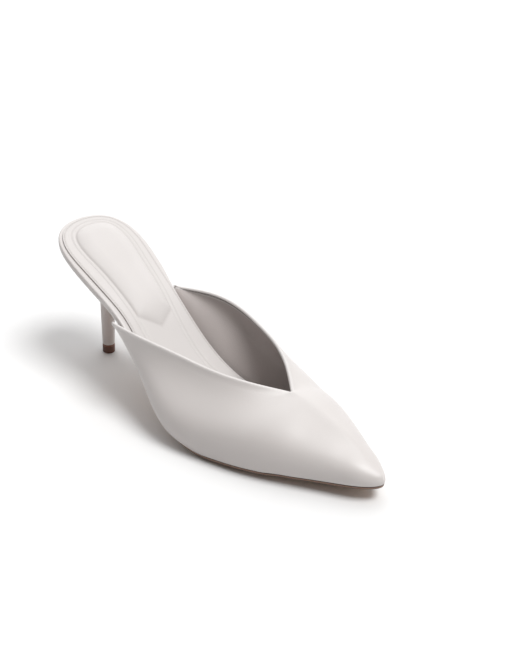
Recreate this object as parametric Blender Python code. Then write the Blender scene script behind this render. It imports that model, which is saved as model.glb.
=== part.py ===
"""A right shoe: a high heel mule with a pointed toe, an open V collar and a slim heel.

Sizes are in millimetres. +X runs from the back of the seat to the toe, +Y to the medial
(inner) side of the foot, -Y to the lateral side, and the shoe stands on z = 0.
"""

from math import cos, pi, radians, sin, tau
from typing import Callable, NamedTuple

import bmesh
import bpy
import numpy as np

MM = 0.001

# Driving sizes
LENGTH = 245.0
TIP_SIDE = 4.8
BACK_SIDE = 1.3
LEATHER = 1.9
GAP = 0.3

# Seat and waist: the wrapped board, and its thinner part inside the upper
BOARD_SEAT = 4.8
BOARD_FOREPART = 2.4
BOARD_THINS = (95.0, 150.0)
WRAP_LATERAL = (58.0, 78.0)
WRAP_MEDIAL = (50.0, 68.0)

# Sock lining with its heel pad
SOCK = 1.1
SOCK_INSET = 2.8
PAD_RISE = 2.0
PAD_START = 9.5
PAD_END = 80.0
PAD_EDGE = 9.5
PAD_SLOPE = 5.0
PAD_SLANT = 0.35
PAD_TIP_SIDE = -4.0

# Outsole
SOLE = 1.8
SOLE_BACK = 47.2
SOLE_INSET_WAIST = 2.6
SOLE_INSET_BALL = 1.8
SOLE_INSET_TOE = 0.8
SOLE_BALL = (80.0, 140.0)
SOLE_TOE = (175.0, 220.0)

# Upper
WING_LATERAL = 72.5
WING_MEDIAL = 65.0
UPPER_BACK_ROWS = 22
UPPER_FRONT_ROWS = 16
UPPER_COLUMNS = 12
RIDGE_END = 239.8
EASE_REACH = 7.0
EASE_FADE = 6.0
EASE_PASSES = 4
EASE_SHARE = 0.5
COLLAR_HOLD = 1.0

# Heel and its top piece
HEEL_CENTRE = 27.4
HEEL_SIDE = 0.8
SHAFT_BACK = 3.8
SHAFT_FRONT = 4.0
SHAFT_HALF_WIDTH = 3.9
SHAFT_TAPER = 1.35
FLARE_START = 0.52
FLARE_POWER = 2.2
BREAST = 46.4
BREAST_HOLLOW = 1.0
HEEL_INSET = 2.4
TOP_PIECE = 6.0
HEEL_SIDES = 36
HEEL_LEVELS = 18


class Outline(NamedTuple):
    """Half widths of the sole's outline at one place along the foot."""

    along: float
    lateral: float
    medial: float


OUTLINE = (
    Outline(6.0, 17.5, 20.7),
    Outline(22.0, 27.0, 28.1),
    Outline(45.0, 28.7, 26.2),
    Outline(72.0, 29.3, 20.6),
    Outline(100.0, 34.6, 19.7),
    Outline(128.0, 42.0, 25.2),
    Outline(155.0, 39.5, 35.6),
    Outline(180.0, 32.6, 34.8),
    Outline(205.0, 20.8, 27.1),
    Outline(225.0, 10.8, 18.6),
    Outline(238.0, 4.1, 13.0),
)


class Level(NamedTuple):
    """A height or a reach at one place along the foot."""

    along: float
    value: float


# Height of the feather line, where the upper meets the sole, above the floor
FEATHER = (
    Level(0.0, 79.2),
    Level(25.0, 70.8),
    Level(50.0, 59.4),
    Level(75.0, 46.5),
    Level(100.0, 25.8),
    Level(125.0, 10.6),
    Level(148.0, 3.1),
    Level(160.0, 2.1),
    Level(180.0, 2.1),
    Level(205.0, 4.6),
    Level(225.0, 6.7),
    Level(245.0, 9.2),
)
FLAT_BACK = 156.0
FLAT_FRONT = 184.0
FLAT_BLEND = 14.0

# How far the wings stand out beyond the outline, where they lie over the board's rim
FLARE_LATERAL = (
    Level(62.0, 2.2),
    Level(80.0, 2.0),
    Level(100.0, 1.0),
    Level(120.0, 1.4),
    Level(135.0, 0.6),
    Level(150.0, 0.0),
    Level(200.0, 0.0),
    Level(LENGTH, 0.0),
)
FLARE_MEDIAL = (
    Level(62.0, 1.2),
    Level(75.0, 0.6),
    Level(95.0, 0.0),
    Level(150.0, 0.0),
    Level(LENGTH, 0.0),
)


class Spot(NamedTuple):
    """A point of the collar's edge or of the ridge down to the toe."""

    along: float
    side: float
    height: float


COLLAR_LATERAL = (
    Spot(71.5, -33.3, 51.9),
    Spot(89.6, -33.4, 52.1),
    Spot(104.3, -30.8, 50.9),
    Spot(118.9, -26.2, 48.4),
    Spot(133.6, -21.3, 45.4),
    Spot(148.3, -15.6, 43.1),
    Spot(163.0, -6.7, 40.5),
    Spot(177.6, 5.5, 36.9),
)
COLLAR_MEDIAL = (
    Spot(64.0, 23.5, 53.0),
    Spot(84.1, 29.2, 55.6),
    Spot(99.7, 33.2, 55.0),
    Spot(115.3, 34.2, 51.9),
    Spot(130.9, 31.4, 49.1),
    Spot(146.5, 26.8, 46.2),
    Spot(162.1, 18.3, 42.2),
    Spot(177.6, 5.5, 36.9),
)
RIDGE = (
    Spot(177.6, 5.5, 36.9),
    Spot(188.0, 6.1, 35.9),
    Spot(200.0, 6.4, 33.1),
    Spot(220.0, 5.8, 26.9),
    Spot(235.0, 4.8, 19.9),
    Spot(RIDGE_END, TIP_SIDE, 17.6),
)


class Section(NamedTuple):
    """How the upper's section leaves the feather line and reaches its top, in degrees."""

    along: float
    lean_lateral: float
    lean_medial: float
    slope_lateral: float
    slope_medial: float


SECTIONS = (
    Section(75.0, 22.5, 23.0, 86.0, 85.0),
    Section(105.0, 17.5, 23.5, 83.5, 77.5),
    Section(135.0, 14.0, 24.0, 68.0, 57.5),
    Section(160.0, 11.0, 25.0, 42.0, 30.0),
    Section(178.0, 10.5, 23.5, 12.5, 4.0),
    Section(200.0, 14.0, 22.5, 15.0, 11.0),
    Section(222.0, 16.0, 12.0, 18.0, 18.5),
    Section(245.0, 12.0, -3.0, 24.0, 32.0),
)
TOE_TURN = 225.0
FULLNESS_LOW = 0.50
FULLNESS_HIGH = 0.45

# Colours, roughness and metallic value of each material
IVORY = (0.78, 0.74, 0.71, 1.0)
TAN = (0.42, 0.27, 0.19, 1.0)
BROWN = (0.16, 0.06, 0.04, 1.0)


def clear_scene() -> None:
    """Remove whatever the file opened with."""
    for item in list(bpy.data.objects):
        bpy.data.objects.remove(item, do_unlink=True)


def spline(knots: np.ndarray, values: np.ndarray, at: np.ndarray) -> np.ndarray:
    """Natural cubic spline through values (a row per knot), read at each place."""
    knots, values, at = np.asarray(knots, float), np.asarray(values, float), np.asarray(at, float)
    count = len(knots)
    step = np.diff(knots)
    system = np.eye(count)
    right = np.zeros(values.shape)
    for i in range(1, count - 1):
        system[i, i - 1:i + 2] = (step[i - 1], 2.0 * (step[i - 1] + step[i]), step[i])
        rise = (values[i + 1] - values[i]) / step[i] - (values[i] - values[i - 1]) / step[i - 1]
        right[i] = 6.0 * rise
    bend = np.linalg.solve(system, right)
    cell = np.clip(np.searchsorted(knots, at) - 1, 0, count - 2)
    width = step[cell]
    before, after = at - knots[cell], knots[cell + 1] - at
    if values.ndim > 1:
        width, before, after = width[:, None], before[:, None], after[:, None]
    cubic = (bend[cell] * after ** 3 + bend[cell + 1] * before ** 3) / (6.0 * width)
    low = (values[cell] / width - bend[cell] * width / 6.0) * after
    high = (values[cell + 1] / width - bend[cell + 1] * width / 6.0) * before
    return cubic + low + high


def smooth(x: np.ndarray, low: float, high: float) -> np.ndarray:
    """0 before low, 1 after high, and a soft step between them."""
    share = np.clip((np.asarray(x, float) - low) / (high - low), 0.0, 1.0)
    return share * share * (3.0 - 2.0 * share)


def mix(first: float, second: float, share: np.ndarray) -> np.ndarray:
    """The value a share of the way from first to second."""
    return first + (second - first) * share


def read(table: tuple[Level, ...], x: np.ndarray) -> np.ndarray:
    """A table of levels at places along the foot, holding its end values beyond its ends."""
    rows = np.array(table)
    return spline(rows[:, 0], rows[:, 1], np.clip(x, rows[0, 0], rows[-1, 0]))


def feather(x: np.ndarray) -> np.ndarray:
    """Height of the feather line: a smooth profile with a flat stretch at the ball."""
    table = np.array(FEATHER)
    height = spline(table[:, 0], table[:, 1], np.atleast_1d(x))
    flat = SOLE + GAP
    down = smooth(x, FLAT_BACK - FLAT_BLEND, FLAT_BACK)
    tread = down * (1.0 - smooth(x, FLAT_FRONT, FLAT_FRONT + FLAT_BLEND))
    return np.maximum(mix(height, flat, tread), flat)


def half_outlines(samples: int = 700) -> tuple[np.ndarray, np.ndarray]:
    """The lateral and the medial side of the outline, each from the seat's back to the tip."""
    back, tip = (0.0, BACK_SIDE), (LENGTH, TIP_SIDE)
    lateral = [(row.along, -row.lateral) for row in OUTLINE]
    medial = [(row.along, row.medial) for row in OUTLINE]
    loop = [back, *lateral, tip, *medial[::-1]]
    around = np.array([*loop[-4:], *loop, *loop[:5]])
    reach = np.sqrt(np.hypot(*np.diff(around, axis=0).T))
    knots = np.concatenate([[0.0], np.cumsum(reach)])
    start, middle, end = knots[4], knots[4 + len(lateral) + 1], knots[4 + len(loop)]
    first = spline(knots, around, np.linspace(start, middle, samples))
    second = spline(knots, around, np.linspace(end, middle, samples))
    return first, second


LATERAL_SIDE, MEDIAL_SIDE = half_outlines()


def run_length(path: np.ndarray) -> np.ndarray:
    """Length along a path up to each of its points."""
    return np.concatenate([[0.0], np.cumsum(np.linalg.norm(np.diff(path, axis=0), axis=1))])


def pick(path: np.ndarray, share: np.ndarray) -> np.ndarray:
    """Points at the given shares of a path's length."""
    run = run_length(path)
    places = np.asarray(share) * run[-1]
    return np.column_stack([np.interp(places, run, path[:, i]) for i in range(path.shape[1])])


def from_place(side: np.ndarray, along: float) -> np.ndarray:
    """The part of a half outline ahead of a place along the foot, or all of it from 0."""
    if along <= 0.0:
        return side
    ahead = side[side[:, 0] > along]
    first = len(side) - len(ahead)
    share = (along - side[first - 1, 0]) / (side[first, 0] - side[first - 1, 0])
    start = side[first - 1] + share * (side[first] - side[first - 1])
    return np.vstack([start, ahead])


def outward(path: np.ndarray, sign: float) -> np.ndarray:
    """Unit normals in plan, pointing away from the foot; sign is -1 on the lateral side."""
    ahead = np.gradient(path[:, :2], axis=0)
    ahead /= np.linalg.norm(ahead, axis=1)[:, None]
    return sign * np.column_stack([-ahead[:, 1], ahead[:, 0]])


def end_normals(normals: np.ndarray, open_back: bool) -> np.ndarray:
    """Normals that point straight ahead at the tip, and straight back where the back is closed."""
    normals = normals.copy()
    normals[-1] = (1.0, 0.0)
    if not open_back:
        normals[0] = (-1.0, 0.0)
    return normals


def material(name: str, colour: tuple, roughness: float) -> bpy.types.Material:
    """A plain Principled material."""
    new = bpy.data.materials.new(name)
    new.use_nodes = True
    shader = new.node_tree.nodes["Principled BSDF"]
    shader.inputs["Base Color"].default_value = colour
    shader.inputs["Roughness"].default_value = roughness
    shader.inputs["Metallic"].default_value = 0.0
    return new


def add_object(name: str, points: np.ndarray, faces: list, finish: bpy.types.Material) -> bpy.types.Object:
    """An object from points in millimetres, welded where its grids share an edge."""
    mesh = bpy.data.meshes.new(name)
    mesh.from_pydata([tuple(point * MM) for point in points], [], faces)
    shape = bmesh.new()
    shape.from_mesh(mesh)
    bmesh.ops.remove_doubles(shape, verts=shape.verts, dist=0.00002)
    bmesh.ops.dissolve_degenerate(shape, edges=shape.edges, dist=0.00001)
    bmesh.ops.recalc_face_normals(shape, faces=shape.faces)
    shape.to_mesh(mesh)
    shape.free()
    mesh.materials.append(finish)
    mesh.shade_smooth()
    mesh.set_sharp_from_angle(angle=radians(40.0))
    new = bpy.data.objects.new(name, mesh)
    bpy.context.collection.objects.link(new)
    return new


def grid_faces(rows: int, columns: int, first: int = 0, wrap: bool = False) -> list:
    """Quads of a grid whose points are stored row by row."""
    faces = []
    for row in range(rows - 1):
        for column in range(columns if wrap else columns - 1):
            right = (column + 1) % columns
            here, there = first + row * columns, first + (row + 1) * columns
            faces.append((here + column, here + right, there + right, there + column))
    return faces


class Rib(NamedTuple):
    """A point of a slab's edge profile: how far in from the outline, and its share of the height."""

    inset: float
    rise: float


def slab(
    name: str,
    back: float,
    rows: int,
    columns: int,
    inset: Callable[[np.ndarray, float], np.ndarray],
    edge: tuple[Rib, ...],
    bottom: Callable[[np.ndarray, np.ndarray], np.ndarray],
    top: Callable[[np.ndarray, np.ndarray], np.ndarray],
    finish: bpy.types.Material,
) -> bpy.types.Object:
    """A long flat piece that follows the sole's outline, made of closed sections across it.

    inset takes a place along the foot and the side's sign. edge lists the profile of the plate's
    side from the bottom up. bottom and top give the heights.
    """
    open_back = back > 0.0
    share = np.linspace(0.0, 1.0, rows)
    eased = 0.5 - 0.5 * np.cos(pi * share)
    share = 1.0 - (1.0 - share) ** 1.5 if open_back else mix(share, eased, 0.75)
    rims = []
    for side, sign in ((LATERAL_SIDE, -1.0), (MEDIAL_SIDE, 1.0)):
        path = pick(from_place(side, back), share)
        normals = end_normals(outward(path, sign), open_back)
        if open_back:
            normals[0] = (0.0, sign)
        rims.append((path, normals, sign))

    def rib_points(which: int, rib: Rib) -> np.ndarray:
        path, normals, sign = rims[which]
        plan = path - normals * (inset(path[:, 0], sign) + rib.inset)[:, None]
        low, high = bottom(plan[:, 0], plan[:, 1]), top(plan[:, 0], plan[:, 1])
        return np.column_stack([plan, mix(low, high, rib.rise)])

    def across(start: np.ndarray, end: np.ndarray, height: Callable) -> list[np.ndarray]:
        strips = []
        for step in range(1, columns):
            plan = start[:, :2] + (end[:, :2] - start[:, :2]) * step / columns
            strips.append(np.column_stack([plan, height(plan[:, 0], plan[:, 1])]))
        return strips

    lateral = [rib_points(0, rib) for rib in edge]
    medial = [rib_points(1, rib) for rib in edge]
    strips = [*lateral, *across(lateral[-1], medial[-1], top), *medial[::-1]]
    strips += across(medial[0], lateral[0], bottom)
    points = np.stack(strips, axis=1).reshape(-1, 3)
    faces = grid_faces(rows, len(strips), wrap=True)
    if open_back:
        faces.append(tuple(range(len(strips))))
    return add_object(name, points, faces, finish)


def board_thickness(x: np.ndarray) -> np.ndarray:
    """Full at the seat, thinner inside the upper."""
    return mix(BOARD_SEAT, BOARD_FOREPART, smooth(x, *BOARD_THINS))


def board_inset(x: np.ndarray, sign: float) -> np.ndarray:
    """Nothing at the seat, and clear of the upper's inner face ahead of its wings."""
    flare, wrap = (FLARE_LATERAL, WRAP_LATERAL) if sign < 0.0 else (FLARE_MEDIAL, WRAP_MEDIAL)
    return mix(0.0, LEATHER + 2.0 * GAP - read(flare, x), smooth(x, *wrap))


def board_top(x: np.ndarray, y: np.ndarray) -> np.ndarray:
    """The board's upper face."""
    return feather(x) + board_thickness(x)


def make_board(finish: bpy.types.Material) -> bpy.types.Object:
    """The insole board with its wrapped, rounded rim."""
    edge = (Rib(2.2, 0.0), Rib(0.9, 0.1), Rib(0.15, 0.35), Rib(0.0, 0.62), Rib(0.45, 0.87), Rib(1.7, 1.0))
    return slab("insole_board", 0.0, 52, 3, board_inset, edge, lambda x, y: feather(x), board_top, finish)


def sock_inset(x: np.ndarray, sign: float) -> np.ndarray:
    """The sock lining stops inside the rim, and just short of the upper ahead of it."""
    return np.full(len(x), SOCK_INSET)


def pad_height(x: np.ndarray, y: np.ndarray) -> np.ndarray:
    """Rise of the heel pad, with a soft shoulder and a pointed front."""
    x, y = np.atleast_1d(x), np.atleast_1d(y)
    halves = []
    for side, sign in ((LATERAL_SIDE, -1.0), (MEDIAL_SIDE, 1.0)):
        width = np.interp(x, side[:, 0], sign * side[:, 1])
        halves.append(width - PAD_EDGE - sign * y)
    room = np.minimum(*halves)
    ends = np.minimum(x - PAD_START, PAD_END - x - PAD_SLANT * np.abs(y - PAD_TIP_SIDE))
    return PAD_RISE * smooth(np.minimum(room, ends), 0.0, PAD_SLOPE)


def sock_bottom(x: np.ndarray, y: np.ndarray) -> np.ndarray:
    """The sock lining lies on the board."""
    return board_top(x, y) + GAP


def sock_top(x: np.ndarray, y: np.ndarray) -> np.ndarray:
    """The face under the foot."""
    return sock_bottom(x, y) + SOCK + pad_height(x, y)


def make_sock(finish: bpy.types.Material) -> bpy.types.Object:
    """The sock lining over the board, padded under the heel."""
    edge = (Rib(0.0, 0.0), Rib(0.0, 0.6), Rib(0.6, 1.0))
    return slab("sock_lining", 0.0, 52, 14, sock_inset, edge, sock_bottom, sock_top, finish)


def sole_inset(x: np.ndarray, sign: float) -> np.ndarray:
    """The sole's edge lies furthest in at the waist, and comes out towards the toe."""
    ball = mix(SOLE_INSET_WAIST, SOLE_INSET_BALL, smooth(x, *SOLE_BALL))
    return mix(ball, SOLE_INSET_TOE, smooth(x, *SOLE_TOE))


def sole_bottom(x: np.ndarray, y: np.ndarray) -> np.ndarray:
    """The tread: flat on the floor under the ball, rising to the toe and to the arch."""
    return feather(x) - GAP - SOLE


def make_sole(finish: bpy.types.Material) -> bpy.types.Object:
    """The outsole, from the heel's breast to the toe."""
    edge = (Rib(0.9, 0.0), Rib(0.0, 0.35), Rib(0.0, 1.0))
    top = lambda x, y: feather(x) - GAP
    return slab("outsole", SOLE_BACK, 56, 4, sole_inset, edge, sole_bottom, top, finish)


def curve_through(spots: tuple[Spot, ...], places: np.ndarray) -> np.ndarray:
    """Points of a smooth curve through the spots, at places along the foot."""
    table = np.array(spots)
    return np.column_stack([places, spline(table[:, 0], table[:, 1:], places)])


def upper_side(side: np.ndarray, sign: float, collar: tuple[Spot, ...], lean: int, slope: int) -> np.ndarray:
    """One side of the upper: a grid of section points, from the feather line to the top."""
    throat = RIDGE[0].along
    start, flare = (WING_LATERAL, FLARE_LATERAL) if sign < 0.0 else (WING_MEDIAL, FLARE_MEDIAL)
    back = from_place(side, start)
    behind = back[back[:, 0] < throat]
    ahead = from_place(side, throat)
    rear_share = np.linspace(0.0, 1.0, UPPER_BACK_ROWS + 1)[:-1]
    front_share = 1.0 - (1.0 - np.linspace(0.0, 1.0, UPPER_FRONT_ROWS + 1)) ** 1.35
    foot = np.vstack([pick(np.vstack([behind, ahead[:1]]), rear_share), pick(ahead, front_share)])
    normals = end_normals(outward(foot, sign), True)
    height = feather(foot[:, 0])
    foot = np.column_stack([foot + normals * read(flare, foot[:, 0])[:, None], height])
    edge = curve_through(collar, mix(collar[0].along, throat, rear_share))
    places = np.linspace(throat, RIDGE_END, 200)
    ridge = pick(curve_through(RIDGE, places), front_share)
    top = np.vstack([edge, ridge])
    turn = smooth(foot[:, 0], TOE_TURN, LENGTH)[:, None]
    across = mix(np.array((0.0, sign)), np.array((1.0, 0.0)), turn)
    across /= np.linalg.norm(across, axis=1)[:, None]
    table = np.array(SECTIONS)
    angles = np.radians(spline(table[:, 0], table[:, 1:], foot[:, 0]))
    leans, slopes = angles[:, lean, None], angles[:, slope, None]
    chord = np.linalg.norm(top - foot, axis=1)[:, None]
    low = foot + FULLNESS_LOW * chord * np.hstack([normals * np.sin(leans), np.cos(leans)])
    high = top + FULLNESS_HIGH * chord * np.hstack([across * np.cos(slopes), -np.sin(slopes)])
    step = np.linspace(0.0, 1.0, UPPER_COLUMNS + 1)[None, :, None]
    foot, low, high, top = foot[:, None], low[:, None], high[:, None], top[:, None]
    rest = 1.0 - step
    return rest ** 3 * foot + 3.0 * rest ** 2 * step * low + 3.0 * rest * step ** 2 * high + step ** 3 * top


def distance_to(points: np.ndarray, path: np.ndarray) -> np.ndarray:
    """Distance of each point from the nearest point of a path."""
    return np.linalg.norm(points[:, None, :] - path[None, :, :], axis=2).min(axis=1)


def ease_ridge(upper: bpy.types.Object, throat_row: np.ndarray) -> None:
    """Round the upper over its ridge and ahead of the throat, and leave its edges where they are."""
    points = np.array([tuple(vertex.co) for vertex in upper.data.vertices]) / MM
    ridge = curve_through(RIDGE, np.linspace(RIDGE[0].along, RIDGE_END, 120))
    collar = []
    for spots in (COLLAR_LATERAL, COLLAR_MEDIAL):
        collar.append(curve_through(spots, np.linspace(spots[0].along, spots[-1].along, 240)))
    crown = np.minimum(distance_to(points, ridge), distance_to(points, throat_row))
    weight = 1.0 - smooth(crown, EASE_REACH, EASE_REACH + EASE_FADE)
    weight *= smooth(distance_to(points, np.vstack(collar)), COLLAR_HOLD, EASE_FADE)
    weight *= smooth(points[:, 2] - feather(points[:, 0]), GAP, EASE_FADE)
    group = upper.vertex_groups.new(name="ridge")
    for index, share in enumerate(weight):
        group.add([index], float(share), "REPLACE")
    ease = upper.modifiers.new("ease", "SMOOTH")
    ease.factor = EASE_SHARE
    ease.iterations = EASE_PASSES
    ease.vertex_group = group.name


def make_upper(finish: bpy.types.Material) -> bpy.types.Object:
    """The one-piece upper: two sides joined along the ridge, thickened inwards."""
    lateral = upper_side(LATERAL_SIDE, -1.0, COLLAR_LATERAL, 0, 2)
    medial = upper_side(MEDIAL_SIDE, 1.0, COLLAR_MEDIAL, 1, 3)
    medial[-1] = lateral[-1]
    rows, columns = lateral.shape[:2]
    points = np.concatenate([lateral.reshape(-1, 3), medial.reshape(-1, 3)])
    faces = grid_faces(rows, columns)
    faces += [face[::-1] for face in grid_faces(rows, columns, rows * columns)]
    upper = add_object("upper", points, faces, finish)
    ease_ridge(upper, np.vstack([lateral[UPPER_BACK_ROWS], medial[UPPER_BACK_ROWS]]))
    wall = upper.modifiers.new("wall", "SOLIDIFY")
    wall.thickness = LEATHER * MM
    wall.offset = -1.0
    wall.use_even_offset = True
    wall.use_rim = True
    return upper


def shaft_ring(taper: float) -> np.ndarray:
    """A round-backed section of the heel's shaft; taper scales it."""
    points = []
    for step in range(HEEL_SIDES):
        angle = tau * step / HEEL_SIDES
        reach = SHAFT_FRONT if cos(angle) > 0.0 else SHAFT_BACK
        along = HEEL_CENTRE + taper * reach * cos(angle)
        points.append((along, HEEL_SIDE + taper * SHAFT_HALF_WIDTH * sin(angle)))
    return np.array(points)


def seat_ring() -> np.ndarray:
    """The heel's outline under the seat: the breast in front, then the sole's outline behind it."""
    sides = []
    for side, sign in ((LATERAL_SIDE, -1.0), (MEDIAL_SIDE, 1.0)):
        behind = side[side[:, 0] < BREAST]
        normals = outward(behind, sign)
        normals[0] = (-1.0, 0.0)
        sides.append(behind - normals * HEEL_INSET)
    lateral, medial = sides
    front = HEEL_SIDES // 6
    around = np.vstack([medial[::-1], lateral[1:]])
    behind = pick(around, np.linspace(0.0, 1.0, HEEL_SIDES - 2 * front + 1))
    across = np.linspace(0.0, 1.0, 2 * front + 1)[1:-1]
    breast = []
    for share in across:
        y = mix(lateral[-1, 1], medial[-1, 1], share)
        breast.append((BREAST - BREAST_HOLLOW * sin(pi * share), y))
    ring = np.vstack([behind, breast])
    return np.roll(ring, -(HEEL_SIDES - front), axis=0)


def cap(ring: np.ndarray, height: Callable[[np.ndarray], np.ndarray], shares: tuple[float, ...]) -> np.ndarray:
    """Rings that shrink towards the middle of a ring, at the given heights."""
    middle = ring[:, :2].mean(axis=0)
    rings = []
    for share in shares:
        plan = middle + (ring[:, :2] - middle) * share
        rings.append(np.column_stack([plan, height(plan[:, 0])]))
    return np.array(rings)


def make_heel(finish: bpy.types.Material) -> bpy.types.Object:
    """The slim heel: a tapered shaft that flares to the seat, whose slope it meets."""
    base = TOP_PIECE + GAP
    seat = seat_ring()
    rings = []
    for share in np.linspace(0.0, 1.0, HEEL_LEVELS):
        shaft = shaft_ring(mix(1.0, SHAFT_TAPER, share))
        flare = max(0.0, (share - FLARE_START) / (1.0 - FLARE_START)) ** FLARE_POWER
        plan = mix(shaft, seat, flare)
        height = mix(base, feather(plan[:, 0]) - GAP, share)
        rings.append(np.column_stack([plan, height]))
    rings = [*rings, *cap(rings[-1], lambda x: feather(x) - GAP, (0.7, 0.4, 0.1))]
    points = np.concatenate(rings)
    faces = grid_faces(len(rings), HEEL_SIDES, wrap=True)
    faces.append(tuple(range(HEEL_SIDES)))
    last = (len(rings) - 1) * HEEL_SIDES
    faces.append(tuple(range(last, last + HEEL_SIDES)))
    return add_object("heel", points, faces, finish)


def make_top_piece(finish: bpy.types.Material) -> bpy.types.Object:
    """The dark top piece under the heel, flat on the floor."""
    ring = shaft_ring(1.0)
    points = np.vstack([np.column_stack([ring, np.full(HEEL_SIDES, z)]) for z in (0.0, TOP_PIECE)])
    faces = grid_faces(2, HEEL_SIDES, wrap=True)
    faces.append(tuple(range(HEEL_SIDES)))
    faces.append(tuple(range(HEEL_SIDES, 2 * HEEL_SIDES)))
    return add_object("heel_tip", points, faces, finish)


def centre_on_floor(pieces: list[bpy.types.Object]) -> None:
    """Move every piece so that the whole shoe is centred on the origin in plan."""
    bpy.context.view_layer.update()
    shapes = bpy.context.evaluated_depsgraph_get()
    corners = []
    for piece in pieces:
        shape = piece.evaluated_get(shapes)
        corners += [tuple(shape.matrix_world @ vertex.co) for vertex in shape.data.vertices]
    corners = np.array(corners)
    low, high = corners.min(axis=0), corners.max(axis=0)
    middle = 0.5 * (low + high)
    for piece in pieces:
        piece.location = (-middle[0], -middle[1], -low[2])
    bpy.context.view_layer.update()


def main() -> None:
    """Build the shoe."""
    clear_scene()
    ivory = material("ivory leather", IVORY, 0.42)
    lining = material("sock leather", IVORY, 0.5)
    rim = material("wrapped rim", IVORY, 0.45)
    covered = material("covered heel", IVORY, 0.42)
    tan = material("tan sole leather", TAN, 0.55)
    brown = material("brown top piece", BROWN, 0.6)
    pieces = [
        make_sole(tan),
        make_board(rim),
        make_sock(lining),
        make_upper(ivory),
        make_heel(covered),
        make_top_piece(brown),
    ]
    centre_on_floor(pieces)


main()
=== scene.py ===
"""The looks of a high heel mule: ivory leather, a padded sock lining and a slim covered heel.

Sizes are in millimetres in the shoe's own frame until a mesh is made: x runs from the back of
the seat to the toe, y to the medial side of the foot and z up from the floor.
"""

import logging
from dataclasses import dataclass, field
from enum import Enum
from math import cos, pi, radians, sin, tau
from typing import Any, Callable, NamedTuple

import bmesh
import bpy
import numpy as np
from mathutils import Matrix, Vector, noise


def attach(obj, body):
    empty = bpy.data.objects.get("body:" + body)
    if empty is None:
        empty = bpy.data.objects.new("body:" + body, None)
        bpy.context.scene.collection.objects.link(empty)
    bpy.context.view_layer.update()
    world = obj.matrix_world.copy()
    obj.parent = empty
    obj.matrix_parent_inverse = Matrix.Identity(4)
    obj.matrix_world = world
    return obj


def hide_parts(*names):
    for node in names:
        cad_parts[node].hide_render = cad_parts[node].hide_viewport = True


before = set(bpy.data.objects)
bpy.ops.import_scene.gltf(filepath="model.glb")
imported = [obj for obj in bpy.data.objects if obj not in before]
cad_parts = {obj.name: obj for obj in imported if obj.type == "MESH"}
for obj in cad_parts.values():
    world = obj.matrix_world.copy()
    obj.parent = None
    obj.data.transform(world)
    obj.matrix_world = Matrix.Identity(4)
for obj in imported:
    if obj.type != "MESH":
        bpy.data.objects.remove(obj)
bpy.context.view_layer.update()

LOG = logging.getLogger("mule")
MM = 0.001
WELD = 0.000005
CENTRE = np.array((122.59, -1.901, 0.0))
BODY = "root"

# Smoothing: a step in, then a slightly smaller step out, which keeps the sheet from shrinking.
EASE_IN, EASE_OUT = 0.6, -0.58
LEAST_GAP = 0.02

# How strongly a leather shows each part of its pattern; the rubbed edge's share also sets a painted
# highlight along the collar's rolled edge.
DEEP_SHARE, PORE_SHARE, PORE_SHADE, RUB_HIGHLIGHT_SHARE = 0.6, 0.12, 0.7, 0.55
FINE_GLOSS, PORE_GLOSS, COAT_ROUGHNESS = 0.10, 0.08, 0.28


class Side(Enum):
    """A side of the foot, and the sign of its y."""

    LATERAL = -1.0
    MEDIAL = 1.0

    def of(self, lateral: Any, medial: Any) -> Any:
        """Return whichever of two things belongs to this side."""
        return lateral if self is Side.LATERAL else medial


class Spot(NamedTuple):
    """A point of the collar's edge or of the ridge down to the toe."""

    along: float
    side: float
    height: float


class Outline(NamedTuple):
    """Half widths of the sole's outline at one place along the foot."""

    along: float
    lateral: float
    medial: float


class Level(NamedTuple):
    """A height, an inset or another measure at one place along the foot."""

    along: float
    value: float


class Section(NamedTuple):
    """How the upper's section leaves the feather line and reaches its top, in degrees."""

    along: float
    lean_lateral: float
    lean_medial: float
    slope_lateral: float
    slope_medial: float


def table_of(kind: type, *rows: tuple[float, ...]) -> tuple:
    """Return a table whose rows are all of one kind."""
    return tuple(kind(*row) for row in rows)


def spline(knots: np.ndarray, values: np.ndarray, at: np.ndarray) -> np.ndarray:
    """Read a natural cubic spline.

    Args:
        knots: Places of the known values, rising.
        values: A value or a row of values for each knot.
        at: Places to read.

    Returns:
        The spline's value at each place.
    """
    knots, values, at = (np.asarray(item, float) for item in (knots, values, at))
    count = len(knots)
    step = np.diff(knots)
    system = np.eye(count)
    right = np.zeros(values.shape)
    for i in range(1, count - 1):
        system[i, i - 1:i + 2] = (step[i - 1], 2.0 * (step[i - 1] + step[i]), step[i])
        rise = (values[i + 1] - values[i]) / step[i] - (values[i] - values[i - 1]) / step[i - 1]
        right[i] = 6.0 * rise
    bend = np.linalg.solve(system, right)
    cell = np.clip(np.searchsorted(knots, at) - 1, 0, count - 2)
    width = step[cell]
    before, after = at - knots[cell], knots[cell + 1] - at
    if values.ndim > 1:
        width, before, after = width[:, None], before[:, None], after[:, None]
    cubic = (bend[cell] * after ** 3 + bend[cell + 1] * before ** 3) / (6.0 * width)
    low = (values[cell] / width - bend[cell] * width / 6.0) * after
    high = (values[cell + 1] / width - bend[cell + 1] * width / 6.0) * before
    return cubic + low + high


def read(table: tuple[Level, ...], at: np.ndarray) -> np.ndarray:
    """Read a table of levels, holding its end values beyond its ends.

    Args:
        table: The levels, in order along the foot.
        at: Places to read.

    Returns:
        The value at each place.
    """
    rows = np.array(table)
    return spline(rows[:, 0], rows[:, 1], np.clip(at, rows[0, 0], rows[-1, 0]))


def smooth(x: np.ndarray, low: float, high: float) -> np.ndarray:
    """Step softly from 0 before low to 1 after high.

    Args:
        x: Values to weigh.
        low: Where the step starts.
        high: Where the step ends.

    Returns:
        A share from 0 to 1 for each value.
    """
    share = np.clip((np.asarray(x, float) - low) / (high - low), 0.0, 1.0)
    return share * share * (3.0 - 2.0 * share)


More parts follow.
